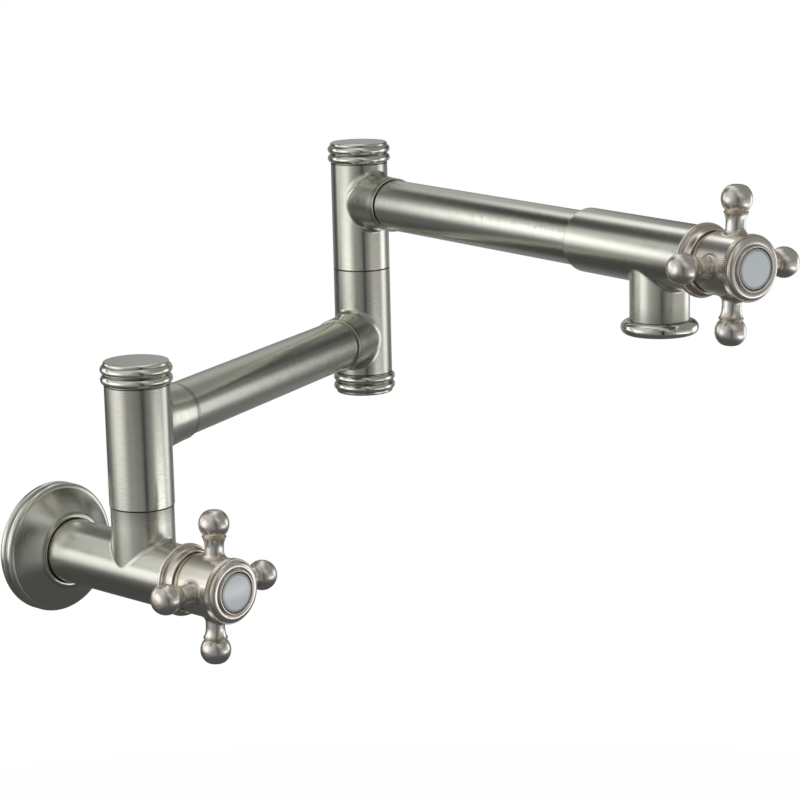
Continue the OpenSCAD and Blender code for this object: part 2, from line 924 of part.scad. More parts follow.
module flange_o_ring() {
    ring_r = (flange_hole_r + flange_seal_r - body_r - joint_gap) / 2;
    color(rubber)
        from_wall()
            translate([0, 0, flange_seal_at])
                seal(body_r + joint_gap / 2, ring_r);
}

module inlet_screen() {
    low = inlet_start + thread_depth;
    color(steel)
        from_wall()
            difference() {
                bar(screen_r, low, screen_top);
                sieve_holes(waterway_r - screen_rim, low - cut_over, screen_top + cut_over);
            }
}

module wall_cartridge() {
    color(brass)
        at_wall_valve()
            cartridge();
}

module wall_seat_seal() {
    color(rubber)
        at_wall_valve()
            seat_seal();
}

module wall_fixed_disc() {
    color(ceramic)
        at_wall_valve()
            fixed_disc();
}

module wall_bonnet_nut() {
    color(brass)
        at_wall_valve()
            bonnet_nut();
}

module wall_trim_ring() {
    color(nickel)
        at_wall_valve()
            trim_ring();
}

module swivel_stem() {
    color(brass)
        at_column(riser_seam)
            difference() {
                union() {
                    stem_upper();
                    bar(stem_r, -stem_foot, 0);
                }
                bar(stem_bore_r, -stem_foot - cut_over, stem_bore_top);
            }
}

module swivel_bush() {
    color(polymer)
        at_column(riser_seam)
            bush();
}

module swivel_seal_low() {
    color(rubber)
        at_column(riser_seam)
            stem_seal(seal_low);
}

module swivel_seal_high() {
    color(rubber)
        at_column(riser_seam)
            stem_seal(seal_high);
}

module swivel_washer() {
    color(polymer)
        at_column(riser_seam)
            washer();
}

module swivel_nut() {
    color(brass)
        at_column(riser_seam)
            swivel_nut_shape();
}

// Lower arm

module lower_sleeve() {
    color(nickel)
        at_column(riser_seam)
            rotate([0, 0, lower_arm_turn])
                sleeve(true);
}

module lower_cap() {
    color(nickel)
        at_column(riser_seam)
            cap();
}

module lower_tube() {
    color(nickel)
        at_column(lower_arm_z)
            rotate([0, 0, lower_arm_turn])
                arm_tube(tube_start, lower_arm_len - tube_start);
}

module elbow_lower_sleeve() {
    color(nickel)
        at_elbow(elbow_seam)
            rotate([half_turn, 0, lower_arm_turn + half_turn])
                sleeve(false);
}

module elbow_bottom_cap() {
    color(nickel)
        at_elbow(elbow_seam)
            rotate([half_turn, 0, 0])
                cap();
}

module elbow_stem() {
    color(brass)
        at_elbow(elbow_seam)
            difference() {
                union() {
                    stem_upper();
                    rotate([half_turn, 0, 0])
                        stem_foot_half();
                }
                bar(stem_bore_r, -stem_top - cut_over, stem_bore_top);
            }
}

// Half of the elbow stem that is clamped in the lower sleeve
module stem_foot_half() {
    difference() {
        union() {
            bar(stem_r, 0, shoulder + run_gap);
            bar(thread_r, 0, stem_top);
        }
        for (level = [seal_low, seal_high])
            seal_groove(level);
        for (turn = [0, quarter_turn])
            translate([0, 0, sleeve_low])
                rotate([0, quarter_turn, turn])
                    bar(port_hole_r, -bush_r, bush_r);
    }
}

module elbow_bush() {
    color(polymer)
        at_elbow(elbow_seam)
            bush();
}

module elbow_seal_low() {
    color(rubber)
        at_elbow(elbow_seam)
            stem_seal(seal_low);
}

module elbow_seal_high() {
    color(rubber)
        at_elbow(elbow_seam)
            stem_seal(seal_high);
}

module elbow_foot_seal_low() {
    color(rubber)
        at_elbow(elbow_seam)
            stem_seal(-seal_high);
}

module elbow_foot_seal_high() {
    color(rubber)
        at_elbow(elbow_seam)
            stem_seal(-seal_low);
}

module elbow_washer() {
    color(polymer)
        at_elbow(elbow_seam)
            washer();
}

module elbow_nut() {
    color(brass)
        at_elbow(elbow_seam)
            swivel_nut_shape();
}

module elbow_lock_washer() {
    color(steel)
        at_elbow(elbow_seam)
            rotate([half_turn, 0, 0])
                washer();
}

module elbow_lock_nut() {
    color(brass)
        at_elbow(elbow_seam)
            rotate([half_turn, 0, 0])
                swivel_nut_shape();
}

// Upper arm

module elbow_upper_sleeve() {
    color(nickel)
        at_elbow(elbow_seam)
            rotate([0, 0, upper_arm_turn])
                sleeve(true);
}

module elbow_top_cap() {
    color(nickel)
        at_elbow(elbow_seam)
            cap();
}

module upper_tube() {
    color(nickel)
        at_elbow(upper_arm_z)
            rotate([0, 0, upper_arm_turn])
                arm_tube(tube_start, upper_arm_len - spout_back + tube_seat);
}

module spout_body() {
    socket_top = rim_spigot_h + drop_washer_h + drop_socket_gap - drop_len;
    color(nickel)
        difference() {
            union() {
                along_spout()
                    turned()
                        soft_band(0, body_r, -spout_back, spout_reach, soft_edge, edge_r / 2);
                at_outlet(upper_arm_z)
                    turned()
                        soft_band(0, drop_r, -drop_len, 0, edge_r / 2, 0);
            }
            along_spout() {
                bar(arm_r + joint_gap, -spout_back - cut_over, -spout_back + tube_seat);
                bar(arm_r + joint_gap + mouth_gap, -spout_back - cut_over, -spout_back + mouth_gap_depth);
                bar(waterway_r, -spout_back, spout_reach - seat_back - seat_web);
            }
            at_spout_valve()
                valve_cut();
            along_spout()
                translate([0, 0, spout_reach - port_back])
                    rotate([quarter_turn, 0, 0])
                        bar(port_r, 0, valve_bore_r + port_web + cut_over);
            at_outlet(upper_arm_z) {
                bar(drop_waterway_r, -drop_len, -valve_bore_r - port_web);
                bar(rim_socket_r + joint_gap, -drop_len - cut_over, socket_top);
            }
        }
}

// Rim ring with its spigot: the middle of the bead at zero
module rim_outline() {
    rim_mid = drop_r + rim_stand;
    difference() {
        union() {
            translate([rim_mid, 0])
                circle(rim_bead);
            band(rim_bore_r, rim_mid, -rim_foot, rim_bead);
            band(rim_bore_r, rim_socket_r, 0, rim_bead + joint_gap + rim_spigot_h);
            band(rim_bore_r - rim_stop_in, rim_bore_r, -rim_foot, rim_stop_h - rim_foot);
        }
        band(0, rim_bore_r - rim_stop_in, -rim_bead - cut_over, rim_bead);
        band(rim_bore_r - rim_stop_in, rim_bore_r, rim_stop_h - rim_foot, rim_bead);
    }
}

module spout_rim() {
    color(polished)
        at_outlet(upper_arm_z - drop_len - joint_gap - rim_bead)
            turned()
                rim_outline();
}

module aerator_insert() {
    base = rim_stop_h - rim_foot;
    color(steel)
        at_outlet(upper_arm_z - drop_len - joint_gap - rim_bead)
            difference() {
                bar(aerator_r, base, base + aerator_h);
                bar(aerator_r - aerator_wall, base + aerator_plate, base + aerator_h + cut_over);
                sieve_holes(aerator_r - aerator_wall, base - cut_over, base + aerator_plate + cut_over);
            }
}

module aerator_washer() {
    top = upper_arm_z - drop_len + rim_spigot_h + drop_washer_h + drop_socket_gap;
    color(rubber)
        at_outlet(top - drop_washer_h)
            turned()
                band(rim_socket_r - drop_washer_w, rim_socket_r, 0, drop_washer_h);
}

module spout_cartridge() {
    color(brass)
        at_spout_valve()
            cartridge();
}

module spout_seat_seal() {
    color(rubber)
        at_spout_valve()
            seat_seal();
}

module spout_fixed_disc() {
    color(ceramic)
        at_spout_valve()
            fixed_disc();
}

module spout_bonnet_nut() {
    color(brass)
        at_spout_valve()
            bonnet_nut();
}

module spout_trim_ring() {
    color(nickel)
        at_spout_valve()
            trim_ring();
}

// Wall handle

module wall_spindle() {
    color(steel)
        wall_handle_place()
            spindle();
}

module wall_moving_disc() {
    color(ceramic)
        wall_handle_place()
            moving_disc();
}

module wall_cross() {
    color(warm_nickel)
        wall_handle_place()
            cross();
}

module wall_handle_screw() {
    color(steel)
        wall_handle_place()
            handle_screw();
}

module wall_bezel() {
    color(nickel)
        wall_handle_place()
            bezel();
}

module wall_button() {
    color(glaze)
        wall_handle_place()
            button();
}

// Spout handle

module spout_spindle() {
    color(steel)
        spout_handle_place()
            spindle();
}

module spout_moving_disc() {
    color(ceramic)
        spout_handle_place()
            moving_disc();
}

module spout_cross() {
    color(warm_nickel)
        spout_handle_place()
            cross();
}

module spout_handle_screw() {
    color(steel)
        spout_handle_place()
            handle_screw();
}

module spout_bezel() {
    color(nickel)
        spout_handle_place()
            bezel();
}

module spout_button() {
    color(glaze)
        spout_handle_place()
            button();
}

inlet_body();
wall_flange();
flange_gasket();
flange_o_ring();
inlet_screen();
wall_cartridge();
wall_seat_seal();
wall_fixed_disc();
wall_bonnet_nut();
wall_trim_ring();
swivel_stem();
swivel_bush();
swivel_seal_low();
swivel_seal_high();
swivel_washer();
swivel_nut();
lower_sleeve();
lower_cap();
lower_tube();
elbow_lower_sleeve();
elbow_bottom_cap();
elbow_stem();
elbow_bush();
elbow_seal_low();
elbow_seal_high();
elbow_foot_seal_low();
elbow_foot_seal_high();
elbow_washer();
elbow_nut();
elbow_lock_washer();
elbow_lock_nut();
elbow_upper_sleeve();
elbow_top_cap();
upper_tube();
spout_body();
spout_rim();
aerator_insert();
aerator_washer();
spout_cartridge();
spout_seat_seal();
spout_fixed_disc();
spout_bonnet_nut();
spout_trim_ring();
wall_spindle();
wall_moving_disc();
wall_cross();
wall_handle_screw();
wall_bezel();
wall_button();
spout_spindle();
spout_moving_disc();
spout_cross();
spout_handle_screw();
spout_bezel();
spout_button();
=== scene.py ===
import bpy
import numpy as np
from bpy.props import FloatProperty, FloatVectorProperty, IntProperty, PointerProperty
from mathutils import Matrix


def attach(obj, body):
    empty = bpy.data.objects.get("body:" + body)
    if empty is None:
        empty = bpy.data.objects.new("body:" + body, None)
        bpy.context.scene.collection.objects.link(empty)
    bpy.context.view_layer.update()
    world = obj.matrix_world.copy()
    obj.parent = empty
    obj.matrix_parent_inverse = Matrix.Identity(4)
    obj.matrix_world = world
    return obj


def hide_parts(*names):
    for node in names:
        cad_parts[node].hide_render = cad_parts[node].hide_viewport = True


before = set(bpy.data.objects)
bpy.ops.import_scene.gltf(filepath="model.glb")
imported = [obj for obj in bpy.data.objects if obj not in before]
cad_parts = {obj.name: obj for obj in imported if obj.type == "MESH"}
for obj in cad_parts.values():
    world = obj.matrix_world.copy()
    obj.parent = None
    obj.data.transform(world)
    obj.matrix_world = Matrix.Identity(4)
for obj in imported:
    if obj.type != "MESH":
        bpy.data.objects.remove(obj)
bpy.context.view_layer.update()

bl_info = {
    "name": "Wall Mounted Pot Filler",
    "version": (1, 0, 0),
    "blender": (4, 5, 0),
    "location": "3D View > Sidebar > Pot Filler",
    "description": "Gives the packed tap its fine surfaces, its brushed nickel and its stage",
    "category": "Object",
}

# All lengths below are in millimetres, as in the part's own drawing
MM = 0.001

# Where axes, seams and ends lie, with both arms' headings in degrees
COLUMN_OUT = 73.3
RISER_SEAM = 32.6
LOWER_LEN = 254.2
UPPER_LEN = 267.7
LOWER_TURN = 18.7
UPPER_TURN = -103.2
SLEEVE_LOW = 39.2
SLEEVE_LEN = 60.1
BODY_FRONT = 101.8
SPOUT_BACK = 56.2
SPOUT_FRONT = 32.0
SPOUT_SOCKET = 12.0
DROP_LEN = 32.8
TUBE_FROM = 24.0
HUB_TOP = 31.8
SPOKE_AT = 22.0

# Radii that come more than once
BODY_R = 16.1
SLEEVE_R = 16.0
STEM_BORE_R = 11.05
TUBE_R = 13.9
SOCKET_R = 13.95
RISER_R = 15.6
DROP_R = 14.55
HUB_R = 15.2
THREAD_R = 9.4

# Points round a plain turned body and round a beaded one
BODY_COLUMNS = 176
BEAD_COLUMNS = 192


def heading(turn):
    """Level unit vector that is turn degrees from +X towards +Y."""
    return np.array([np.cos(np.radians(turn)), np.sin(np.radians(turn)), 0.0])


COLUMN = np.array([0.0, -COLUMN_OUT, 0.0])
ELBOW = COLUMN + LOWER_LEN * heading(LOWER_TURN)
OUTLET = ELBOW + UPPER_LEN * heading(UPPER_TURN)
LOWER_Z = RISER_SEAM + SLEEVE_LOW
ELBOW_SEAM = LOWER_Z + SLEEVE_LOW
UPPER_Z = ELBOW_SEAM + SLEEVE_LOW
UP = np.array([0.0, 0.0, 1.0])
FORWARD = np.array([0.0, -1.0, 0.0])
SPOUT_WAY = heading(UPPER_TURN)


def place(origin, first, third, spin=0.0):
    """Place of a piece: its first axis turned by spin about its third, the second one square to both."""
    first, third = np.asarray(first, float), np.asarray(third, float)
    second = np.cross(third, first)
    turn = np.radians(spin)
    matrix = np.eye(4)
    matrix[:3, 0] = first * np.cos(turn) + second * np.sin(turn)
    matrix[:3, 1] = second * np.cos(turn) - first * np.sin(turn)
    matrix[:3, 2] = third
    matrix[:3, 3] = origin
    return matrix


def level(point, height):
    """The point moved to that height."""
    return np.array([point[0], point[1], height])


AT_WALL = place((0, 0, 0), (1, 0, 0), FORWARD)
AT_WALL_VALVE = place((0, -BODY_FRONT, 0), (1, 0, 0), FORWARD)
SPOUT_MIDDLE = level(OUTLET, UPPER_Z)
AT_SPOUT = place(SPOUT_MIDDLE, np.cross(UP, SPOUT_WAY), SPOUT_WAY)
AT_SPOUT_VALVE = place(SPOUT_MIDDLE + SPOUT_FRONT * SPOUT_WAY, np.cross(UP, SPOUT_WAY), SPOUT_WAY)


# Outlines: points of radius and height, drawn with the metal on their left

def arc(radius_at, height_at, size, start, end, count):
    """Points of a circle of that size about (radius_at, height_at), from start to end in degrees."""
    turn = np.radians(np.linspace(start, end, count))
    return np.column_stack([radius_at + size * np.cos(turn), height_at + size * np.sin(turn)])


def swept(start, end, angle, share):
    """Vectors on the arc from start to end, which lie angle apart, at each share of that angle:
    (sin((1 - share) angle) start + sin(share angle) end) / sin(angle)."""
    return (np.sin((1 - share) * angle) * start + np.sin(share * angle) * end) / np.sin(angle)


def rounded(before, corner, after, size, step=9):
    """The corner replaced by an arc that touches both of its sides, size being the arc's radius and
    step the degrees from point to point."""
    to_before = (before - corner) / np.linalg.norm(before - corner)
    to_after = (after - corner) / np.linalg.norm(after - corner)
    half = np.arccos(np.clip(to_before @ to_after, -1, 1)) / 2
    middle = corner + (to_before + to_after) / np.linalg.norm(to_before + to_after) * size / np.sin(half)
    start = corner + to_before * size / np.tan(half) - middle
    end = corner + to_after * size / np.tan(half) - middle
    sweep = np.arccos(np.clip(start @ end / size ** 2, -1, 1))
    share = np.linspace(0, 1, max(4, int(np.degrees(sweep) / step)))[:, None]
    return middle + swept(start, end, sweep, share)


def outline(*parts, closed=False):
    """One outline through corners (radius, height, rounding) and arcs. A straight over 0.5 long gets a
    guard point 0.12 from both of its ends, so that smooth shading stays flat between them."""
    blocks = [np.atleast_2d(np.asarray(part, float)) for part in parts]
    ends = [(block[0, :2], block[-1, :2]) for block in blocks]
    points = []
    for i, block in enumerate(blocks):
        if len(block) == 1 and block.shape[1] == 3 and block[0, 2] > 0:
            before, after = ends[i - 1][1], ends[(i + 1) % len(ends)][0]
            points.append(rounded(before, block[0, :2], after, block[0, 2]))
        else:
            points.append(block[:, :2])
    line = np.vstack(points)
    if closed:
        line = np.vstack([line, line[:1]])
    line = line[np.r_[True, np.linalg.norm(np.diff(line, axis=0), axis=1) > 1e-4]]
    step = np.diff(line, axis=0)
    length = np.linalg.norm(step, axis=1)
    guard = 0.12 * step / length[:, None]
    long = length > 0.5
    placed = np.vstack([line, (line[:-1] + guard)[long], (line[1:] - guard)[long]])
    # A guard's rank lies between those of its straight's two ends
    index = np.arange(len(length), dtype=float)
    order = np.r_[np.arange(len(line)), index[long] + 0.3, index[long] + 0.6]
    return placed[np.argsort(order, kind="stable")]


def edge_signs(line, closed, reach=0.7, most=1.4):
    """Two values of an outline's points, how far it turns outwards and how far inwards within reach, each
    as a share of the angle most. The inward one later sets the painted shade of corners."""
    ahead = np.diff(line, axis=0)
    turn = np.zeros(len(line))
    cross = ahead[:-1, 0] * ahead[1:, 1] - ahead[:-1, 1] * ahead[1:, 0]
    turn[1:-1] = np.arctan2(cross, np.sum(ahead[:-1] * ahead[1:], axis=1))
    if closed:
        cross = ahead[-1, 0] * ahead[0, 1] - ahead[-1, 1] * ahead[0, 0]
        turn[0] = turn[-1] = np.arctan2(cross, ahead[-1] @ ahead[0])
    gap = np.linalg.norm(line[:, None] - line[None], axis=2)
    weight = np.exp(-(gap / reach) ** 2)
    worn = weight @ np.maximum(turn, 0)
    crevice = weight @ np.maximum(-turn, 0)
    return np.clip(worn / most, 0, 1), np.clip(crevice / most, 0, 1)


def deepened(line, crevice, gaps):
    """The corner values raised near each gap (radius, height, reach, depth), so that the painted shade is
    near black in the gaps between parts: at the distance d from it they are at least depth exp(-(d /
    reach)^2)."""
    for radius, height, reach, depth in gaps:
        gap = np.hypot(line[:, 0] - radius, line[:, 1] - height)
        crevice = np.maximum(crevice, depth * np.exp(-(gap / reach) ** 2))
    return crevice


# Surfaces: every one is a closed shell of rows of points round an axis

def shell(rows, along, around, worn, crevice, ring=False):
    """One closed shell from rows of points (row, column, xyz). The last row joins the first in a ring,
    and otherwise a pole closes each end. along and around are the real lengths for the UV map."""
    count, columns = rows.shape[:2]
    last = (count - 1) * columns
    here = np.arange(columns)
    there = (here + 1) % columns
    first = np.arange(count - 1)[:, None] * columns
    quads = np.stack([first + here, first + there, first + columns + there, first + columns + here],
                     -1).reshape(-1, 4)
    v = np.broadcast_to(np.asarray(along, float).reshape(count, -1), (count, columns + 1))
    uv = np.stack([np.broadcast_to(np.linspace(0, around, columns + 1), v.shape), v], -1)
    quad_uv = np.stack([uv[:-1, :-1], uv[:-1, 1:], uv[1:, 1:], uv[1:, :-1]], 2).reshape(-1, 2)
    points = rows.reshape(-1, 3)
    worn, crevice = (np.broadcast_to(np.reshape(values, (count, -1)), (count, columns)).ravel()
                     for values in (worn, crevice))
    if ring:
        return {"points": points[:last], "quads": np.where(quads >= last, quads - last, quads),
                "tris": np.zeros((0, 3), int), "uv": quad_uv, "worn": worn[:last],
                "crevice": crevice[:last]}
    fans = [np.stack([there, here, np.full(columns, count * columns)], -1),
            np.stack([last + here, last + there, np.full(columns, count * columns + 1)], -1)]
    low_uv = np.stack([uv[0, 1:], uv[0, :-1], (uv[0, 1:] + uv[0, :-1]) / 2], 1)
    high_uv = np.stack([uv[-1, :-1], uv[-1, 1:], (uv[-1, 1:] + uv[-1, :-1]) / 2], 1)
    return {"points": np.vstack([points, rows[0].mean(0), rows[-1].mean(0)]), "quads": quads,
            "tris": np.vstack(fans),
            "uv": np.vstack([quad_uv, low_uv.reshape(-1, 2), high_uv.reshape(-1, 2)]),
            "worn": np.r_[worn, worn[0], worn[-1]], "crevice": np.r_[crevice, crevice[0], crevice[-1]]}


def moved(points, matrix):
    """Points carried from a piece's own axes to the tap's."""
    return points @ matrix[:3, :3].T + matrix[:3, 3]


def turned(line, matrix, columns, ring=False, shift=None, gaps=()):
    """Turned shape: x = (r + shift) cos t, y = (r + shift) sin t, z = height, where shift may depend
    on the angle t and on the row. A valley of the shift adds 3.2 times its depth, at most 1.6, to the
    value that paints shade into corners."""
    angle = np.linspace(0, 2 * np.pi, columns, endpoint=False)
    radius = np.repeat(line[:, :1], columns, axis=1)
    if shift is not None:
        radius = radius + shift(line, angle)
    rows = np.stack([radius * np.cos(angle), radius * np.sin(angle),
                     np.repeat(line[:, 1:], columns, axis=1)], -1)
    along = np.r_[0, np.cumsum(np.linalg.norm(np.diff(line, axis=0), axis=1))]
    worn, crevice = edge_signs(line, ring)
    crevice = np.repeat(deepened(line, crevice, gaps)[:, None], columns, axis=1)
    if shift is not None:
        crevice = crevice + np.clip(-3.2 * (radius - line[:, :1]), 0, 1.6)
    if not ring:
        keep = line[:, 0] > 1e-6
        rows, along, worn, crevice = rows[keep], along[keep], worn[keep], crevice[keep]
    return shell(moved(rows, matrix), along, 2 * np.pi * line[:, 0].max(), worn, crevice, ring)


def branch(main_r, branch_r, ball, line, matrix, rows, columns=144, root=0.8, eased=False,
           side_ball=0.0, side_cut=0.0, gaps=()):
    """Branch that leaves a round bar square to it, with the fillet a ball of that radius leaves as it
    rolls along both. At angle t round the branch the ball's middle is y = (b + q) sin t,
    z = (b + q) cos t, x = sqrt((a + q)^2 - y^2), with a, b, q the two radii and the ball's. It touches
    the branch at (x, b sin t, b cos t) and the bar at (x, y) a / (a + q). Towards both sides the ball
    grows by side_ball and the branch shrinks by side_cut, each times sin^2 t. Past the fillet the radius
    goes, straight or eased, to that of the line, the outline of the branch's own end. The shell's hidden
    end lies inside the bar, at root times its radius. The fillet has that many rows, and the part from
    there to the line two fewer."""
    radius, distance = line.T[:, :, None]
    angle = np.linspace(0, 2 * np.pi, columns, endpoint=False)
    side, up = np.sin(angle), np.cos(angle)
    ball = ball + side_ball * side ** 2
    branch_r = branch_r - side_cut * side ** 2
    middle_y = (branch_r + ball) * side
    middle_x = np.sqrt((main_r + ball) ** 2 - middle_y ** 2)
    middle = np.stack([middle_x, middle_y, (branch_r + ball) * up], -1)
    to_bar = -np.stack([middle_x, middle_y, np.zeros(columns)], -1) / (main_r + ball)[:, None]
    to_branch = -np.stack([np.zeros(columns), side, up], -1)
    sweep = np.arccos(np.clip(np.sum(to_bar * to_branch, -1), -1, 1))[:, None]
    share = np.linspace(0, 1, rows)[:, None, None]
    fillet = middle + ball[:, None] * swept(to_bar, to_branch, sweep, share)
    # A skirt 0.8 wide and 0.02 under the bar's surface keeps the shading smooth where the fillet starts
    out = -to_branch
    skirt = fillet[0] + 0.8 * (out - np.sum(out * to_bar, -1)[:, None] * to_bar)
    skirt[:, :2] *= (main_r - 0.02) / np.linalg.norm(skirt[:, :2], axis=1)[:, None]
    hidden_r = 0.8 * branch_r
    inside = np.stack([np.full(columns, root * main_r), hidden_r * side, hidden_r * up], -1)
    share = np.linspace(0, 1, rows)[1:-1, None]
    straight_x = middle_x + (distance[0] - middle_x) * share
    if eased:
        share = share * share * (3 - 2 * share)
    straight_r = branch_r + (radius[0] - branch_r) * share
    straight = np.stack([straight_x, straight_r * side, straight_r * up], -1)
    ends = np.stack([np.repeat(distance, columns, axis=1), radius * side, radius * up], -1)
    surface = np.concatenate([inside[None], skirt[None], fillet, straight, ends])
    # The fillet's middle rows take half the painted corner shade where the two bars meet squarely
    count = len(surface) - len(line)
    worn = np.zeros((len(surface), columns))
    crevice = np.zeros((len(surface), columns))
    near_middle = 0.5 * np.exp(-((np.arange(count) - 1 - rows / 2) / (rows / 2)) ** 2)[:, None]
    crevice[2:2 + rows] = near_middle[2:2 + rows] * np.sin(sweep).T
    # The line is read turned round, so its outer edges count as inward corners: thin rims and collars get
    # the painted shade
    line_worn, line_crevice = edge_signs(line[::-1], False)
    worn[count:] = line_worn[::-1, None]
    crevice[count:] = deepened(line[::-1], line_crevice, gaps)[::-1, None]
    step = np.linalg.norm(np.diff(surface, axis=0), axis=2)
    along = np.vstack([np.zeros(columns), np.cumsum(step, axis=0)])
    along = along - along[count - 1]
    along = np.hstack([along, along[:, :1]])
    if line[-1, 0] < 1e-6:
        surface, along, worn, crevice = surface[:-1], along[:-1], worn[:-1], crevice[:-1]
    return shell(moved(surface, matrix), along, 2 * np.pi * branch_r.max(), worn, crevice)


def outward(one):
    """The shell with its faces turned outwards: its volume, the sum of a . (b x c) / 6, is positive."""
    quads, points = one["quads"], one["points"]
    tris = np.vstack([quads[:, [0, 1, 2]], quads[:, [0, 2, 3]], one["tris"]])
    a, b, c = (points[tris[:, k]] for k in range(3))
    if np.sum(a * np.cross(b, c)) < 0:
        count = len(quads)
        uv = one["uv"]
        one["uv"] = np.vstack([uv[:4 * count].reshape(-1, 4, 2)[:, ::-1].reshape(-1, 2),
                               uv[4 * count:].reshape(-1, 3, 2)[:, ::-1].reshape(-1, 2)])
        one["quads"], one["tris"] = quads[:, ::-1], one["tris"][:, ::-1]
    return one


def piece(node, shells, body, slot, finish=None):
    """One object from several shells, at the origin, that stands for a node of the frame. Its material
    is that of the finish, or else of the slot. Edges over 32 degrees are shaded sharp."""
    name = node + "_fine"
    shells = [outward(one) for one in shells]
    start = np.cumsum([0] + [len(one["points"]) for one in shells])
    faces = []
    for one, offset in zip(shells, start):
        faces += (one["quads"] + offset).tolist() + (one["tris"] + offset).tolist()
    joined = {key: np.concatenate([one[key] for one in shells])
              for key in ("points", "uv", "worn", "crevice")}
    mesh = bpy.data.meshes.new(name)
    mesh.from_pydata((joined["points"] * MM).tolist(), [], faces)
    mesh.uv_layers.new(name="lengths").data.foreach_set("uv", (joined["uv"] * MM).ravel())
    # Worn edges, and the corner values that the finishes paint as shade
    for key in ("worn", "crevice"):
        mesh.attributes.new(key, "FLOAT", "POINT").data.foreach_set("value", joined[key])
    mesh.shade_smooth()
    mesh.set_sharp_from_angle(angle=np.radians(32))
    mesh.materials.append(finish_of(finish or slot))
    if mesh.validate():
        raise RuntimeError(name + " has a face that can't be")
    made = bpy.data.objects.new(name, mesh)
    bpy.context.scene.collection.objects.link(made)
    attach(made, body)
    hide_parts(node)


# Shader maths

class Value:
    """One output socket. Arithmetic on it adds Math nodes to its own tree."""

    def __init__(self, board, socket):
        self.board = board
        self.socket = socket

    def __add__(self, other):
        return self.board.math("ADD", self, other)

    def __sub__(self, other):
        return self.board.math("SUBTRACT", self, other)

    def __rsub__(self, other):
        return self.board.math("SUBTRACT", other, self)

    def __mul__(self, other):
        return self.board.math("MULTIPLY", self, other)

    def __abs__(self):
        return self.board.math("ABSOLUTE", self)

    __radd__ = __add__
    __rmul__ = __mul__

    def between(self, low, high):
        """0 below low, 1 above high and a smooth rise between."""
        return self.board.add("ShaderNodeMapRange", {"interpolation_type": "SMOOTHSTEP"},
                              {"Value": self, "From Min": low, "From Max": high})


class Board:
    """A node tree to which nodes are added, one call each."""

    def __init__(self, tree):
        self.tree = tree
        tree.nodes.clear()

    def add(self, kind, settings=None, sockets=None, out=0):
        """A new node with its settings and inputs filled in, as the Value of one of its outputs."""
        node = self.tree.nodes.new(kind)
        for key, value in (settings or {}).items():
            setattr(node, key, value)
        for key, value in (sockets or {}).items():
            if isinstance(value, Value):
                self.tree.links.new(value.socket, node.inputs[key])
            else:
                node.inputs[key].default_value = value
        return Value(self, node.outputs[out]) if len(node.outputs) else None

    def math(self, operation, first, second=0.0):
        """A Math node of that operation."""
        return self.add("ShaderNodeMath", {"operation": operation}, {0: first, 1: second})

    def stretched(self, vector, scale):
        """The vector times a scale of its own on each axis."""
        return self.add("ShaderNodeVectorMath", {"operation": "MULTIPLY"}, {0: vector, 1: scale})

    def noise(self, vector, scale, detail=2.0, roughness=0.5):
        """Noise of about 0 to 1 with a mean near a half."""
        return self.add("ShaderNodeTexNoise", {"noise_dimensions": "3D"},
                        {"Vector": vector, "Scale": scale, "Detail": detail, "Roughness": roughness})

    def mixed(self, share, first, second):
        """Colour between first and second."""
        return self.add("ShaderNodeMix", {"data_type": "RGBA"}, {0: share, 6: first, 7: second}, 2)

    def scaled(self, colour, value):
        """Colour times a value."""
        plain = colour if isinstance(colour, Value) else tuple(colour)[:3]
        return self.add("ShaderNodeVectorMath", {"operation": "SCALE"}, {0: plain, "Scale": value})

    def attribute(self, name):
        """Value of a mesh attribute."""
        return self.add("ShaderNodeAttribute", {"attribute_name": name}, out="Fac")

    def object_place(self):
        """Place on the object, in metres."""
        return self.add("ShaderNodeTexCoord", out="Object")

    def finish_with(self, shader):
        """The output node, fed by that shader."""
        self.add("ShaderNodeOutputMaterial", sockets={"Surface": shader})


WHITE = (1.0, 1.0, 1.0, 1.0)


def opaque(colour):
    """The colour as four numbers."""
    return (colour[0], colour[1], colour[2], 1.0)


def new_board(name):
    """A new material with an empty board."""
    material = bpy.data.materials.new(name + "_finish")
    material.use_nodes = True
    return material, Board(material.node_tree)


def brushed(name, colour, dark, rough, grain=1.0, bump=1.0, hollow=0.5):
    """Brushed nickel: fine streaks run round each turned piece, with short scratches among them, a slow
    cloud in tone and gloss, edges worn brighter, painted shade in the corners and painted near-black
    shade in the gaps. The streaks' and scratches' scales are repeats per metre, round a piece and along it."""
    material, board = new_board(name)
    lengths = board.add("ShaderNodeUVMap", {"uv_map": "lengths"})
    streak = board.noise(board.stretched(lengths, (55.0, 4200.0, 0.0)), 1.0, 3.0, 0.6)
    scratch = board.noise(board.stretched(lengths, (260.0, 1500.0, 0.0)), 1.0, 2.0, 0.7)
    cloud = board.noise(board.object_place(), 38.0, 3.0, 0.55)
    worn = board.attribute("worn")
    crevice = board.attribute("crevice")
    tone = 1.0 + grain * 0.16 * (streak - 0.5) + grain * 0.12 * (scratch - 0.5) + 0.05 * (cloud - 0.5)
    # Painted shade: corners are mixed towards the finish's dark colour, hollow times their corner value
    base = board.mixed(crevice * hollow, opaque(colour), opaque(dark))
    base = board.mixed(worn * 0.35, base, opaque([min(1.0, c * 1.12) for c in colour]))
    # Painted shade: the gaps between parts go nearly black
    tone = tone * (1.0 - 0.96 * crevice.between(1.05, 1.9))
    gloss = rough + grain * 0.10 * (streak - 0.5) + 0.05 * (cloud - 0.5) + 0.08 * crevice - 0.05 * worn
    height = streak * 0.65 + scratch * 0.4
    normal = board.add("ShaderNodeBump", sockets={"Strength": 1.0, "Distance": 0.00005 * bump,
                                                  "Height": height})
    board.finish_with(board.add("ShaderNodeBsdfPrincipled", sockets={
        "Base Color": board.scaled(base, tone), "Metallic": 1.0, "Roughness": gloss, "Normal": normal}))
    return material


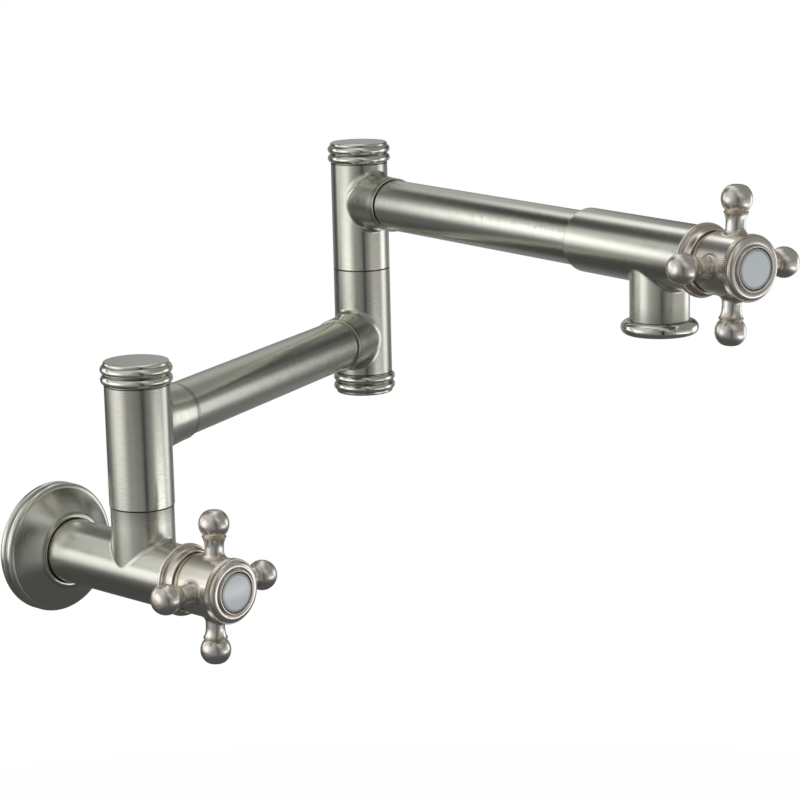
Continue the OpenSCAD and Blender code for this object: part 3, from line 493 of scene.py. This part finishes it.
def cast(name, colour, rough, metallic, fleck, size=900.0, coat=0.0):
    """Plain stuff of the inner pieces: a fine fleck, size of them to the metre, and a slow cloud."""
    material, board = new_board(name)
    spot = board.object_place()
    fine = board.noise(spot, size, 3.0, 0.6)
    cloud = board.noise(spot, 60.0)
    tone = 1.0 + fleck * (fine - 0.5) + 0.6 * fleck * (cloud - 0.5)
    normal = board.add("ShaderNodeBump", sockets={"Strength": 0.5, "Distance": 0.00003, "Height": fine})
    board.finish_with(board.add("ShaderNodeBsdfPrincipled", sockets={
        "Base Color": board.scaled(opaque(colour), tone), "Metallic": metallic,
        "Roughness": rough + 0.1 * (cloud - 0.5), "Coat Weight": coat, "Normal": normal}))
    return material


def glazed(name, colour, edge_colour):
    """Glazed button: a clear coat over a pale body that is a little cloudy and darker towards its edge."""
    material, board = new_board(name)
    cloud = board.noise(board.object_place(), 90.0)
    fine = board.noise(board.object_place(), 1400.0)
    worn = board.attribute("worn")
    base = board.mixed(worn * 0.8, opaque(colour), opaque(edge_colour))
    tone = 1.0 + 0.05 * (cloud - 0.5) + 0.02 * (fine - 0.5)
    normal = board.add("ShaderNodeBump", sockets={"Strength": 0.15, "Distance": 0.00002, "Height": cloud})
    board.finish_with(board.add("ShaderNodeBsdfPrincipled", sockets={
        "Base Color": board.scaled(base, tone), "Roughness": 0.16 + 0.06 * (cloud - 0.5),
        "Coat Weight": 0.8, "Coat Roughness": 0.12, "Normal": normal}))
    return material


# What a user would change

def length(name, text, default):
    """A length property, its default in millimetres."""
    return FloatProperty(name=name, description=text, default=default * MM, min=0.0, unit="LENGTH",
                         precision=5)


def tint(name, text, default):
    """A colour property."""
    return FloatVectorProperty(name=name, description=text, default=default, subtype="COLOR", size=3,
                               min=0.0, max=1.0)


class TapSizes(bpy.types.PropertyGroup):
    """Sizes of the fine forms, in metres."""

    sleeve_fillet: length("Sleeve fillet", "Radius where a boss leaves its sleeve", 2.2)
    riser_fillet: length("Riser fillet", "Radius where the riser leaves the inlet tube", 2.6)
    drop_fillet: length("Outlet fillet", "Radius where the outlet leaves the spout body", 2.4)
    spoke_fillet: length("Spoke fillet", "Radius where a spoke leaves its hub", 3.0)
    knurl_depth: length("Knurl depth", "Depth of the teeth round a bezel", 0.45)
    thread_pitch: length("Thread pitch", "Rise of one turn of the inlet thread", 1.814)
    thread_depth: length("Thread depth", "Depth of the inlet thread", 0.95)
    knurl_teeth: IntProperty(name="Knurl teeth", description="Teeth round a bezel", default=96, min=24)


class TapColours(bpy.types.PropertyGroup):
    """Colours of the finishes."""

    nickel: tint("Nickel", "Brushed nickel of body and arms", (0.71, 0.71, 0.63))
    # Painted shade: the colour that the nickel's corners and gaps are mixed towards
    nickel_corner_shade: tint("Nickel in corners", "Nickel where a corner keeps its painted_shade", (0.22, 0.21, 0.17))
    warm: tint("Handle nickel", "Warmer nickel of the handles", (0.86, 0.83, 0.77))
    # Painted shade and warm reflection: the brown that corners of handles, bezels and trim rings are mixed
    # towards
    warm_corner_shade: tint("Handle corners", "Brown of the handles' corners", (0.46, 0.35, 0.22))
    polished: tint("Polished nickel", "Polished rim and caps", (0.80, 0.80, 0.72))
    brass: tint("Brass", "Bonnets, stems and nuts", (0.62, 0.47, 0.27))
    steel: tint("Steel", "Screws, spindles, screen and aerator", (0.58, 0.58, 0.58))
    rubber: tint("Rubber", "Seals and gasket", (0.02, 0.02, 0.02))
    ceramic: tint("Ceramic", "Valve discs", (0.80, 0.79, 0.76))
    polymer: tint("Bearing polymer", "Bushes and washers", (0.70, 0.69, 0.65))
    glaze: tint("Button glaze", "Buttons of the handles", (0.42, 0.455, 0.465))
    glaze_edge: tint("Button edge", "Edge of the buttons", (0.20, 0.21, 0.21))
    floor: tint("Floor", "Floor under the tap", (0.95, 0.95, 0.95))


def sizes():
    """The scene's sizes."""
    return bpy.context.scene.tap_sizes


def colours():
    """The scene's colours."""
    return bpy.context.scene.tap_colours


# Each finish: its maker, its colours and its other values
FINISHES = {
    # The second colour of each nickel finish is painted corner shade, and hollow says how far corners are
    # mixed towards it
    "brushed_nickel": (brushed, ("nickel", "nickel_corner_shade"), {"rough": 0.18}),
    "brushed_nickel_tube": (brushed, ("nickel", "nickel_corner_shade"), {"rough": 0.18, "grain": 1.2, "bump": 1.3}),
    "brushed_nickel_soft": (brushed, ("nickel", "nickel_corner_shade"), {"rough": 0.24, "grain": 0.9, "bump": 0.7}),
    "nickel_caps": (brushed, ("polished", "nickel_corner_shade"),
                    {"rough": 0.16, "grain": 0.5, "bump": 0.15, "hollow": 0.9}),
    "handle_nickel": (brushed, ("warm", "warm_corner_shade"),
                      {"rough": 0.25, "grain": 0.5, "bump": 0.12, "hollow": 1.0}),
    "nickel_bezels": (brushed, ("warm", "warm_corner_shade"),
                      {"rough": 0.24, "grain": 0.8, "bump": 0.4, "hollow": 0.8}),
    "polished_nickel": (brushed, ("polished", "nickel_corner_shade"),
                        {"rough": 0.12, "grain": 0.3, "bump": 0.2, "hollow": 0.6}),
    "button_glaze": (glazed, ("glaze", "glaze_edge"), {}),
    "seal_rubber": (cast, ("rubber",), {"rough": 0.55, "metallic": 0.0, "fleck": 0.3}),
    "disc_ceramic": (cast, ("ceramic",),
                     {"rough": 0.22, "metallic": 0.0, "fleck": 0.04, "size": 1500.0, "coat": 0.3}),
    "bearing_polymer": (cast, ("polymer",), {"rough": 0.45, "metallic": 0.0, "fleck": 0.06}),
    "inner_steel": (cast, ("steel",), {"rough": 0.3, "metallic": 1.0, "fleck": 0.12}),
    "inner_brass": (cast, ("brass",), {"rough": 0.32, "metallic": 1.0, "fleck": 0.14}),
}


def finish_of(name):
    """The material of that finish, made when it is first wanted."""
    known = bpy.data.materials.get(name + "_finish")
    if known:
        return known
    maker, keys, values = FINISHES[name]
    return maker(name, *(getattr(colours(), key) for key in keys), **values)


# Shapes for the operators below

def sleeve_shells(origin, way, up, running):
    """Sleeve along up with its boss along way: a turned wall and one branch with a soft bell. A sleeve
    that runs on the piece below it starts 0.3 above the seam."""
    low = 0.3 if running else 0.0
    wall = outline((13.7, low), (SLEEVE_R, low, 0.3), (SLEEVE_R, SLEEVE_LEN, 0.3), (14.35, SLEEVE_LEN),
                   (14.35, 57.0), (STEM_BORE_R, 57.0), (STEM_BORE_R, 48.9), (13.0, 48.9), (13.0, 29.5),
                   (STEM_BORE_R, 29.5), (STEM_BORE_R, 4.55), (13.7, 4.55), closed=True)
    barrel = turned(wall, place(origin, np.cross(up, way), up), BODY_COLUMNS, ring=True,
                    gaps=((SLEEVE_R, 0.0, 0.45, 2.0), (15.6, SLEEVE_LEN, 0.7, 2.0)))
    mouth = outline((14.9, 33.0), (14.9, 36.0, 0.45), (14.4, 36.0), (14.4, 35.0), (SOCKET_R, 35.0),
                    (SOCKET_R, TUBE_FROM), (9.0, TUBE_FROM), (9.0, 18.0), (0.0, 18.0))
    boss_r = 15.7
    boss = branch(SLEEVE_R, boss_r, sizes().sleeve_fillet / MM, mouth,
                  place(origin + SLEEVE_LOW * up, way, up), eased=True, rows=20,
                  side_ball=5.0, side_cut=1.7, gaps=((14.0, 34.3, 0.6, 2.0), (SOCKET_R, 32.0, 2.0, 2.0)))
    return [barrel, boss]


def cap_line():
    """Cap: foot, two round beads with a narrow flat between them, a soft shoulder and a flat crown."""
    bead_at, bead_r = 15.25, 2.35
    foot, neck = 71.4, 68.8
    return outline((0.0, 4.75), (13.2, 4.75), (13.2, -2.5), (14.3, -2.5), (14.3, 0.3), (SLEEVE_R, 0.3),
                   arc(bead_at, 2.9, bead_r, -foot, neck, 22), arc(bead_at, 7.9, bead_r, -neck, neck, 22),
                   (16.1, 11.8, 0.95), (0.0, 11.8))


def valve_mouth(front):
    """Inside of a valve body from its front end back to the waterway."""
    return [(12.25, front), (12.25, front - 6.0), (9.3, front - 6.0), (9.3, front - 36.0),
            (6.5, front - 36.0), (6.5, front - 39.0), (8.0, front - 39.0)]


def trim_line():
    """Trim ring: round bead, groove, narrow foot and a bell that draws in to a thin lip about a recess.
    The bell's circle starts on the foot's edge at height 3."""
    foot_r, cove_x, cove_r = 17.3, 18.1, 2.6
    cove_at = 3.0 + np.sqrt(cove_r ** 2 - (cove_x - foot_r) ** 2)
    return outline((STEM_BORE_R, 0.3), (16.4, 0.3), arc(16.9, 1.3, 1.0, -105, 105, 22), (16.4, 2.45),
                   (foot_r, 2.62, 0.1), (foot_r, 2.98, 0.1), arc(cove_x, cove_at, cove_r, 252, 180, 18),
                   (15.5, 8.2, 0.35), (14.6, 8.2, 0.3), (14.6, 6.1), (STEM_BORE_R, 6.1), closed=True)


def bezel_line():
    """Bezel: spigot, toothed band, round shoulder, small cove and raised lip about the button's hole."""
    return outline((0.0, 0.0), (8.344, 0.0), (8.344, -3.2), (10.944, -3.2), (10.944, 0.0),
                   (15.7, 0.0), (15.9, 0.2), (15.9, 2.6), (15.7, 2.8), (15.15, 2.8),
                   arc(12.55, 2.4, 2.6, 9, 114, 26), (11.1, 4.72, 0.3), arc(10.45, 5.3, 0.55, -35, 180, 20),
                   (9.9, 1.7), (0.0, 1.7))


def button_line():
    """Button: straight side, small round edge and a dome of one large circle."""
    dome = 62.0
    radius = np.linspace(9.15, 0.0, 14)
    crown = np.column_stack([radius, 6.35 - dome + np.sqrt(dome ** 2 - radius ** 2)])
    return outline((0.0, 1.75), (9.5, 1.75), arc(9.1, 5.45, 0.4, 0, 88, 8), crown)


def spoke_tail():
    """Spoke past its fillet: neck, thin collar and ball. The ball's radius eases from full to tip over
    its last 45 degrees, which leaves a soft flat tip."""
    full, tip, ball_at, neck_end = 7.45, 6.8, 31.0, 5.2
    turn = np.linspace(-np.degrees(np.arccos(neck_end / full)), 90.0, 60)
    ease = np.clip((turn - 45) / 45, 0, 1)
    size = full - (full - tip) * ease ** 2 * (3 - 2 * ease)
    ball = np.column_stack([size * np.cos(np.radians(turn)), ball_at + size * np.sin(np.radians(turn))])
    share = np.linspace(0, 1, 12)
    neck = np.column_stack([4.65 + 0.95 * share ** 2.2, 19.6 + 4.6 * share])
    return outline(neck, arc(5.3, 24.8, 0.62, -62, 80, 12), ball)


def cross_shells(matrix):
    """Cross: a turned hub with a narrower skirt behind it, and four branches with fillets."""
    skirt_r, spoke_r = 14.35, 4.7
    hub = outline((4.4, 11.8), (11.7, 11.8), (11.7, 6.7), (skirt_r, 6.7, 0.1), (skirt_r, 11.8, 0.1),
                  (HUB_R, 11.8, 0.5), (HUB_R, HUB_TOP), (11.0, HUB_TOP), (11.0, 28.55),
                  (5.4, 28.55), (5.4, 25.5), (2.0, 25.5), (2.0, 24.5), (4.4, 24.5), closed=True)
    # The gaps paint shade: near black where the skirt meets the hub, and the brown corner colour over the
    # rest of the skirt
    shells = [turned(hub, matrix, BODY_COLUMNS, ring=True,
                     gaps=((skirt_r, 11.75, 0.45, 2.0), (skirt_r, 10.2, 2.6, 1.0)))]
    first, second, third, middle = matrix[:3].T
    for turn in np.arange(4) * np.pi / 2:
        spot = place(middle + SPOKE_AT * third, np.cos(turn) * first + np.sin(turn) * second, third)
        shells.append(branch(HUB_R, spoke_r, sizes().spoke_fillet / MM, spoke_tail(), spot, rows=12,
                             columns=96, root=0.7))
    return shells


def toothed(line, angle):
    """Shift of a bezel's toothed band: minus the depth times a pointed wave of one tooth each, only on
    the band's own rows."""
    depth = sizes().knurl_depth / MM
    inside = (line[:, 0] > 15.6) & (line[:, 1] > -0.1) & (line[:, 1] < 2.9)
    wave = np.abs(((angle * sizes().knurl_teeth / (2 * np.pi)) % 1.0) * 2 - 1)
    return np.where(inside[:, None], -depth * wave[None], 0.0)


def helix(line, angle):
    """Shift of the inlet's thread: depth times a flat-topped wave of height / pitch - angle / full
    turn, which fades in and out over 1.2 at both ends."""
    pitch, depth = sizes().thread_pitch / MM, sizes().thread_depth / MM
    inside = np.abs(line[:, 0] - THREAD_R) < 0.02
    phase = (line[:, 1:] / pitch - angle[None] / (2 * np.pi)) % 1.0
    wave = np.clip(1.6 * (1 - np.abs(phase * 2 - 1)) - 0.3, 0, 1)
    fade = np.clip(np.minimum(line[:, 1:] - 6.6, 23.6 - line[:, 1:]) / 1.2, 0, 1)
    return np.where(inside[:, None], depth * wave * fade, 0.0)


# Operators, one for each piece or group of like pieces

class MakeInlet(bpy.types.Operator):
    """Inlet body with its threaded bore and riser, and the beaded wall flange"""

    bl_idname = "pot_filler.inlet"
    bl_label = "Inlet and Flange"

    def execute(self, context):
        thread = np.column_stack([np.full(100, THREAD_R), np.linspace(24.0, 6.4, 100)])
        near_flange = np.column_stack([np.full(16, BODY_R), np.linspace(16.0, 20.5, 16)])
        tube = outline((9.9, 6.0), (BODY_R, 6.0, 0.6), near_flange, (BODY_R, BODY_FRONT, 0.3),
                       *valve_mouth(BODY_FRONT), (8.0, 25.2), (8.85, 25.2), (8.85, 24.0), thread,
                       closed=True)
        top = outline((RISER_R, 24.0), (RISER_R, RISER_SEAM, 0.3), (STEM_BORE_R, RISER_SEAM),
                      (STEM_BORE_R, 16.6), (7.5, 16.6), (7.5, 13.0), (0.0, 13.0))
        riser = branch(BODY_R, RISER_R, sizes().riser_fillet / MM, top,
                       place(COLUMN, UP, FORWARD), rows=18, side_ball=1.5,
                       gaps=((RISER_R, RISER_SEAM, 0.45, 2.0),))
        barrel = turned(tube, AT_WALL, BODY_COLUMNS, ring=True, shift=helix,
                        gaps=((BODY_R, 17.2, 1.3, 2.0),))
        piece("inlet_body", [barrel, riser], "wall_body", "brushed_nickel", "brushed_nickel_soft")
        # The flange's face from (30.5, 9.2) to (19.16, 17.78), hollow by 0.55 along its normal (0.6, 0.8)
        share = np.linspace(0, 1, 22)
        hollow = 0.55 * 4 * share * (1 - share)
        face = np.column_stack([30.5 - 11.34 * share - 0.6 * hollow, 9.2 + 8.58 * share - 0.8 * hollow])
        flange = outline((28.9, 0.0), (31.2, 0.0, 0.1), arc(30.8, 2.4, 2.2, -70, 58, 22),
                         arc(30.8, 6.9, 2.2, -58, 84, 24), face, arc(17.6, 15.7, 2.6, 44, 110, 14),
                         (16.5, 17.9), (16.5, 15.55), (17.5, 15.55), (17.5, 13.25), (16.5, 13.25),
                         (16.5, 0.0), (19.4, 0.0), (19.4, 6.6), (27.2, 6.6), (27.2, 1.5), (28.9, 1.5),
                         closed=True)
        ring = turned(flange, AT_WALL, 224, ring=True, gaps=((16.5, 17.0, 1.0, 2.0),))
        piece("wall_flange", [ring], "wall_body", "brushed_nickel")
        return {"FINISHED"}


class MakeSleeves(bpy.types.Operator):
    """Three upright sleeves, each with its boss and fillet"""

    bl_idname = "pot_filler.sleeves"
    bl_label = "Swivel Sleeves"

    def execute(self, context):
        for name, at, way, up, running, body in (
                ("lower_sleeve", level(COLUMN, RISER_SEAM), LOWER_TURN, UP, True, "lower_arm"),
                ("elbow_lower_sleeve", level(ELBOW, ELBOW_SEAM), LOWER_TURN + 180, -UP, False, "lower_arm"),
                ("elbow_upper_sleeve", level(ELBOW, ELBOW_SEAM), UPPER_TURN, UP, True, "upper_arm")):
            piece(name, sleeve_shells(at, heading(way), up, running), body, "brushed_nickel")
        return {"FINISHED"}


class MakeCaps(bpy.types.Operator):
    """Three beaded caps on the ends of the columns"""

    bl_idname = "pot_filler.caps"
    bl_label = "Sleeve Caps"

    def execute(self, context):
        for name, at, up, body in (
                ("lower_cap", level(COLUMN, RISER_SEAM + SLEEVE_LEN), UP, "lower_arm"),
                ("elbow_bottom_cap", level(ELBOW, ELBOW_SEAM - SLEEVE_LEN), -UP, "lower_arm"),
                ("elbow_top_cap", level(ELBOW, ELBOW_SEAM + SLEEVE_LEN), UP, "upper_arm")):
            cap = turned(cap_line(), place(at, (1, 0, 0), up), BEAD_COLUMNS,
                         gaps=((15.6, 0.3, 0.7, 2.0), (SLEEVE_R, 5.4, 0.5, 1.3)))
            piece(name, [cap], body, "nickel_caps")
        return {"FINISHED"}


class MakeTubes(bpy.types.Operator):
    """Both arm tubes"""

    bl_idname = "pot_filler.tubes"
    bl_label = "Arm Tubes"

    def execute(self, context):
        for name, at, way, end, body in (
                ("lower_tube", level(COLUMN, LOWER_Z), heading(LOWER_TURN), LOWER_LEN - TUBE_FROM,
                 "lower_arm"),
                ("upper_tube", level(ELBOW, UPPER_Z), SPOUT_WAY, UPPER_LEN - SPOUT_BACK + SPOUT_SOCKET,
                 "upper_arm")):
            near_boss = np.column_stack([np.full(12, TUBE_R), np.linspace(34.5, 37.5, 12)])
            wall = outline((12.5, TUBE_FROM), (TUBE_R, TUBE_FROM), near_boss, (TUBE_R, end), (12.5, end),
                           closed=True)
            tube = turned(wall, place(at, UP, way), BODY_COLUMNS, ring=True,
                          gaps=((TUBE_R, 35.4, 1.0, 2.0),))
            piece(name, [tube], body, "brushed_nickel_tube")
        return {"FINISHED"}


class MakeSpout(bpy.types.Operator):
    """Spout body with its outlet tube, and the polished rim"""

    bl_idname = "pot_filler.spout"
    bl_label = "Spout"

    def execute(self, context):
        stop, lip = SPOUT_SOCKET - SPOUT_BACK, 1.0 - SPOUT_BACK
        body = outline((14.4, -SPOUT_BACK), (BODY_R, -SPOUT_BACK, 0.9), (BODY_R, SPOUT_FRONT, 0.3),
                       *valve_mouth(SPOUT_FRONT), (8.0, stop), (SOCKET_R, stop), (SOCKET_R, lip),
                       (14.4, lip), closed=True)
        end = outline((DROP_R, 24.0), (DROP_R, DROP_LEN, 0.3), (11.55, DROP_LEN), (11.55, 24.8),
                      (9.75, 24.8), (9.75, 13.0), (0.0, 13.0))
        drop = branch(BODY_R, DROP_R, sizes().drop_fillet / MM, end,
                      place(SPOUT_MIDDLE, -UP, SPOUT_WAY), rows=20, side_ball=1.5)
        barrel = turned(body, AT_SPOUT, BODY_COLUMNS, ring=True)
        piece("spout_body", [barrel, drop], "upper_arm", "brushed_nickel", "brushed_nickel_soft")
        bead_r, clear = 3.4, 0.05
        rim = outline((9.6, -2.6), arc(15.5, 0.0, bead_r, -130.1, 90, 44), (11.5, bead_r), (11.5, 9.45),
                      (10.2, 9.45), (10.2, -1.6), (9.6, -1.6), closed=True)
        at = place(level(OUTLET, UPPER_Z - DROP_LEN - clear - bead_r), (1, 0, 0), UP)
        piece("spout_rim", [turned(rim, at, BEAD_COLUMNS, ring=True)], "upper_arm", "polished_nickel")
        return {"FINISHED"}


class MakeTrimRings(bpy.types.Operator):
    """Trim rings behind both handles"""

    bl_idname = "pot_filler.trim_rings"
    bl_label = "Trim Rings"

    def execute(self, context):
        for name, at, body in (("wall_trim_ring", AT_WALL_VALVE, "wall_body"),
                               ("spout_trim_ring", AT_SPOUT_VALVE, "upper_arm")):
            piece(name, [turned(trim_line(), at, BEAD_COLUMNS, ring=True)], body, "handle_nickel")
        return {"FINISHED"}


class MakeHandles(bpy.types.Operator):
    """Both cross handles with their toothed bezels and glazed buttons"""

    bl_idname = "pot_filler.handles"
    bl_label = "Handles"

    def execute(self, context):
        for side, origin, turn in (("wall", AT_WALL_VALVE, -1.7), ("spout", AT_SPOUT_VALVE, -3.2)):
            at = place(origin[:3, 3], origin[:3, 0], origin[:3, 2], turn)
            ahead = at.copy()
            ahead[:3, 3] += HUB_TOP * at[:3, 2]
            body = side + "_handle"
            piece(side + "_cross", cross_shells(at), body, "handle_nickel")
            bezel = turned(bezel_line(), ahead, 4 * sizes().knurl_teeth, shift=toothed,
                           gaps=((9.9, 4.4, 1.0, 2.0),))
            piece(side + "_bezel", [bezel], body, "nickel_bezels")
            piece(side + "_button", [turned(button_line(), ahead, 128)], body, "button_glaze")
        return {"FINISHED"}


class FinishCarried(bpy.types.Operator):
    """Finishes of the nodes that keep their own surfaces"""

    bl_idname = "pot_filler.carried"
    bl_label = "Carried Parts"

    def execute(self, context):
        done = set()
        for words, finish in (
                (("gasket", "seal", "o_ring", "aerator_washer"), "seal_rubber"),
                (("disc",), "disc_ceramic"),
                (("bush", "swivel_washer", "elbow_washer"), "bearing_polymer"),
                (("screen", "spindle", "screw", "aerator_insert", "lock_washer"), "inner_steel"),
                (("cartridge", "bonnet", "stem", "nut"), "inner_brass")):
            for name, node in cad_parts.items():
                if name not in done and any(word in name for word in words):
                    node.data.materials.clear()
                    node.data.materials.append(finish_of(finish))
                    done.add(name)
        return {"FINISHED"}


class MakeStage(bpy.types.Operator):
    """Camera, white surroundings, floor and the studio's panels"""

    bl_idname = "pot_filler.stage"
    bl_label = "Stage"

    def execute(self, context):
        set_camera(context.scene)
        set_world(context.scene)
        make_floor()
        make_panels()
        return {"FINISHED"}


# Stage: the camera's place and turn are those of the photograph, its focal length is in pixels of a
# picture 800 wide, and floor and tent are in metres
CAMERA_AT = (-777.56, -988.05, 334.95)
CAMERA_TURN = (46.44, 11.97, -1.31)
FOCAL_PIXELS = 2519.25
PICTURE_PIXELS = 800.0
SENSOR = 36.0
FLOOR_AT = (0.1, -0.1, -0.9)
FLOOR_R = 2.2
TENT_AT = (0.11, -0.15, 0.08)
TENT_R = 0.8
TENT_COLUMNS = 96
TENT_ROWS = 45


def set_camera(scene):
    """Camera turned by its yaw from +Y towards +X, its pitch downwards and its roll, in degrees."""
    yaw, pitch, roll = np.radians(CAMERA_TURN)
    ahead = np.array([np.sin(yaw) * np.cos(pitch), np.cos(yaw) * np.cos(pitch), -np.sin(pitch)])
    right = np.array([np.cos(yaw), -np.sin(yaw), 0.0])
    up = np.cross(right, ahead)
    axes = np.eye(4)
    axes[:3, 0] = right * np.cos(roll) + up * np.sin(roll)
    axes[:3, 1] = up * np.cos(roll) - right * np.sin(roll)
    axes[:3, 2] = -ahead
    axes[:3, 3] = np.array(CAMERA_AT) * MM
    data = bpy.data.cameras.new("camera")
    data.sensor_fit = "HORIZONTAL"
    data.sensor_width = SENSOR
    data.lens = FOCAL_PIXELS * SENSOR / PICTURE_PIXELS
    data.clip_start = 0.01
    camera = bpy.data.objects.new("camera", data)
    camera.matrix_world = Matrix(axes.tolist())
    scene.collection.objects.link(camera)
    scene.camera = camera
    scene.view_settings.view_transform = "Standard"


def set_world(scene):
    """White surroundings for camera, glossy, transmission and all other rays alike. No lamp sampling is
    used, so that nothing but the panels reaches the metal's reflections."""
    world = bpy.data.worlds.new("surroundings")
    world.use_nodes = True
    board = Board(world.node_tree)
    light = board.add("ShaderNodeBackground", sockets={"Color": WHITE, "Strength": 1.0})
    board.add("ShaderNodeOutputWorld", sockets={"Surface": light})
    world.cycles.sampling_method = "NONE"
    scene.world = world


def make_floor():
    """Round floor well below the tap. Camera, glossy and transmission rays see it four fifths plain
    white, and the last fifth matt with the tap's soft shadow."""
    turn = np.linspace(0, 2 * np.pi, 96, endpoint=False)
    ring = np.array(FLOOR_AT) + FLOOR_R * np.stack([np.cos(turn), np.sin(turn), 0 * turn], -1)
    mesh = bpy.data.meshes.new("floor")
    mesh.from_pydata(ring.tolist(), [], [list(range(len(turn)))])
    material, board = new_board("floor")
    cloud = board.noise(board.object_place(), 3.0)
    matt = board.add("ShaderNodeBsdfDiffuse", sockets={
        "Color": board.scaled(opaque(colours().floor), 0.99 + 0.02 * cloud)})
    white = board.add("ShaderNodeEmission", sockets={"Color": WHITE, "Strength": 1.0})
    camera_ray, glossy_ray, clear_ray = (board.add("ShaderNodeLightPath", out="Is " + kind + " Ray")
                                         for kind in ("Camera", "Glossy", "Transmission"))
    share = 0.8 * (camera_ray + glossy_ray + clear_ray)
    board.finish_with(board.add("ShaderNodeMixShader", sockets={0: share, 1: matt, 2: white}))
    mesh.materials.append(material)
    floor = bpy.data.objects.new("floor", mesh)
    bpy.context.scene.collection.objects.link(floor)


# The tent's brightness where no panel stands, 1 being white
BASE_LEVEL = 0.27

# Each panel: heading and half width, lowest and highest elevation, softness across and up, degrees of
# heading that it leans per degree of elevation, brightness
PANELS = (
    (0, 400, -400, -33, 2, 14, 0.0, 0.09),
    (-110, 14, 19, 63, 8, 10, -0.6, 0.61),
    (-169, 20, -24, 25, 10, 8, 0.5, 0.36),
    (-175, 10, 0, 11, 8, 6, 0.0, 0.90),
    (-124, 12, -31, 26, 6, 6, -0.1, 0.18),
    (-124, 4, -34, 26, 2, 5, -0.1, 0.02),
    (-60, 22, -26, -11, 13, 4, 0.0, 1.90),
    (-62, 34, -16, 3, 10, 4, 0.0, 0.49),
    (-21, 12, -20, 9, 7, 6, -0.1, 1.53),
    (12, 13, -10, 0, 6, 4, 0.0, 0.45),
    (10, 3, -28, 16, 2, 5, -0.3, 0.01),
    (13, 14, 10, 26, 5, 4, 0.0, 0.06),
    (51, 17, 13, 33, 4, 4, 0.0, 0.48),
    (52, 11, 38, 65, 6, 8, -0.3, 1.30),
    (73, 10, 12, 27, 6, 6, 0.0, 0.14),
    (86, 17, 32, 52, 6, 5, 0.0, 0.06),
    (90, 11, -14, 13, 5, 6, 0.0, 0.10),
    (116, 15, 2, 30, 4, 13, -0.1, 1.90),
    (149, 24, -16, 22, 14, 8, 0.0, 1.36),
    (163, 41, 20, 63, 12, 10, 0.0, 0.64),
    (121, 6, 6, 31, 2, 4, -1.0, 0.12),
    (101, 35, -50, -15, 8, 15, 0.2, 0.07),
    (150, 19, -26, -18, 10, 3, 0.0, 0.14),
    (80, 71, 65, 95, 15, 10, 0.0, 0.95),
    (-130, 50, 69, 95, 15, 10, 0.0, 0.84),
)


def make_panels():
    """A tent of grey and white panels that only reflections see. A panel's share at a direction is the
    product of smooth steps in heading and in elevation, and each panel stands before the last."""
    angle = np.linspace(0, 2 * np.pi, TENT_COLUMNS, endpoint=False)
    tilt = np.radians(np.linspace(-88, 88, TENT_ROWS))[:, None]
    rows = np.stack([np.cos(tilt) * np.cos(angle), np.cos(tilt) * np.sin(angle),
                     np.repeat(np.sin(tilt), TENT_COLUMNS, axis=1)], -1)
    plain = np.zeros(TENT_ROWS)
    one = shell(rows * TENT_R + np.array(TENT_AT), plain, 1.0, plain, plain)
    mesh = bpy.data.meshes.new("panels")
    mesh.from_pydata(one["points"].tolist(), [], one["quads"].tolist() + one["tris"].tolist())
    material, board = new_board("panels")
    way = board.add("ShaderNodeVectorMath", {"operation": "SUBTRACT"},
                    {0: board.object_place(), 1: TENT_AT})
    way = board.add("ShaderNodeVectorMath", {"operation": "NORMALIZE"}, {0: way})
    parts = board.add("ShaderNodeSeparateXYZ", sockets={0: way})
    x, y, z = (Value(board, socket) for socket in parts.socket.node.outputs)
    to_degrees = float(np.degrees(1.0))
    elevation = board.math("ARCSINE", z) * to_degrees
    level_here = BASE_LEVEL
    for centre, half, low, high, soft, soft_up, lean, value in PANELS:
        c, s = float(np.cos(np.radians(centre))), float(np.sin(np.radians(centre)))
        across = board.math("ARCTAN2", y * c - x * s, x * c + y * s) * to_degrees
        across = abs(across - lean * (elevation - (max(low, -90) + min(high, 90)) / 2))
        share = (1.0 - across.between(half - soft, half + soft)) \
            * elevation.between(low - soft_up, low + soft_up) \
            * (1.0 - elevation.between(high - soft_up, high + soft_up))
        level_here = level_here + (value - level_here) * share
    board.finish_with(board.add("ShaderNodeEmission", sockets={"Color": WHITE, "Strength": level_here}))
    material.cycles.emission_sampling = "NONE"
    mesh.materials.append(material)
    tent = bpy.data.objects.new("panels", mesh)
    bpy.context.scene.collection.objects.link(tent)
    tent.visible_camera = tent.visible_diffuse = tent.visible_shadow = False


OPERATORS = (MakeInlet, MakeSleeves, MakeCaps, MakeTubes, MakeSpout, MakeTrimRings, MakeHandles,
             FinishCarried, MakeStage)


class TapPanel(bpy.types.Panel):
    """Lists the tap's operators, sizes and colours"""

    bl_idname = "VIEW3D_PT_pot_filler"
    bl_label = "Pot Filler"
    bl_space_type = "VIEW_3D"
    bl_region_type = "UI"
    bl_category = "Pot Filler"

    def draw(self, context):
        for operator in OPERATORS:
            self.layout.operator(operator.bl_idname)
        for group in (context.scene.tap_sizes, context.scene.tap_colours):
            box = self.layout.box()
            for key in group.__annotations__:
                box.prop(group, key)


CLASSES = (TapSizes, TapColours) + OPERATORS + (TapPanel,)


def register():
    for one in CLASSES:
        bpy.utils.register_class(one)
    bpy.types.Scene.tap_sizes = PointerProperty(type=TapSizes)
    bpy.types.Scene.tap_colours = PointerProperty(type=TapColours)


def unregister():
    del bpy.types.Scene.tap_sizes
    del bpy.types.Scene.tap_colours
    for one in reversed(CLASSES):
        bpy.utils.unregister_class(one)


def main():
    register()
    for operator in OPERATORS:
        group, name = operator.bl_idname.split(".")
        getattr(getattr(bpy.ops, group), name)()


if __name__ == "__main__":
    main()
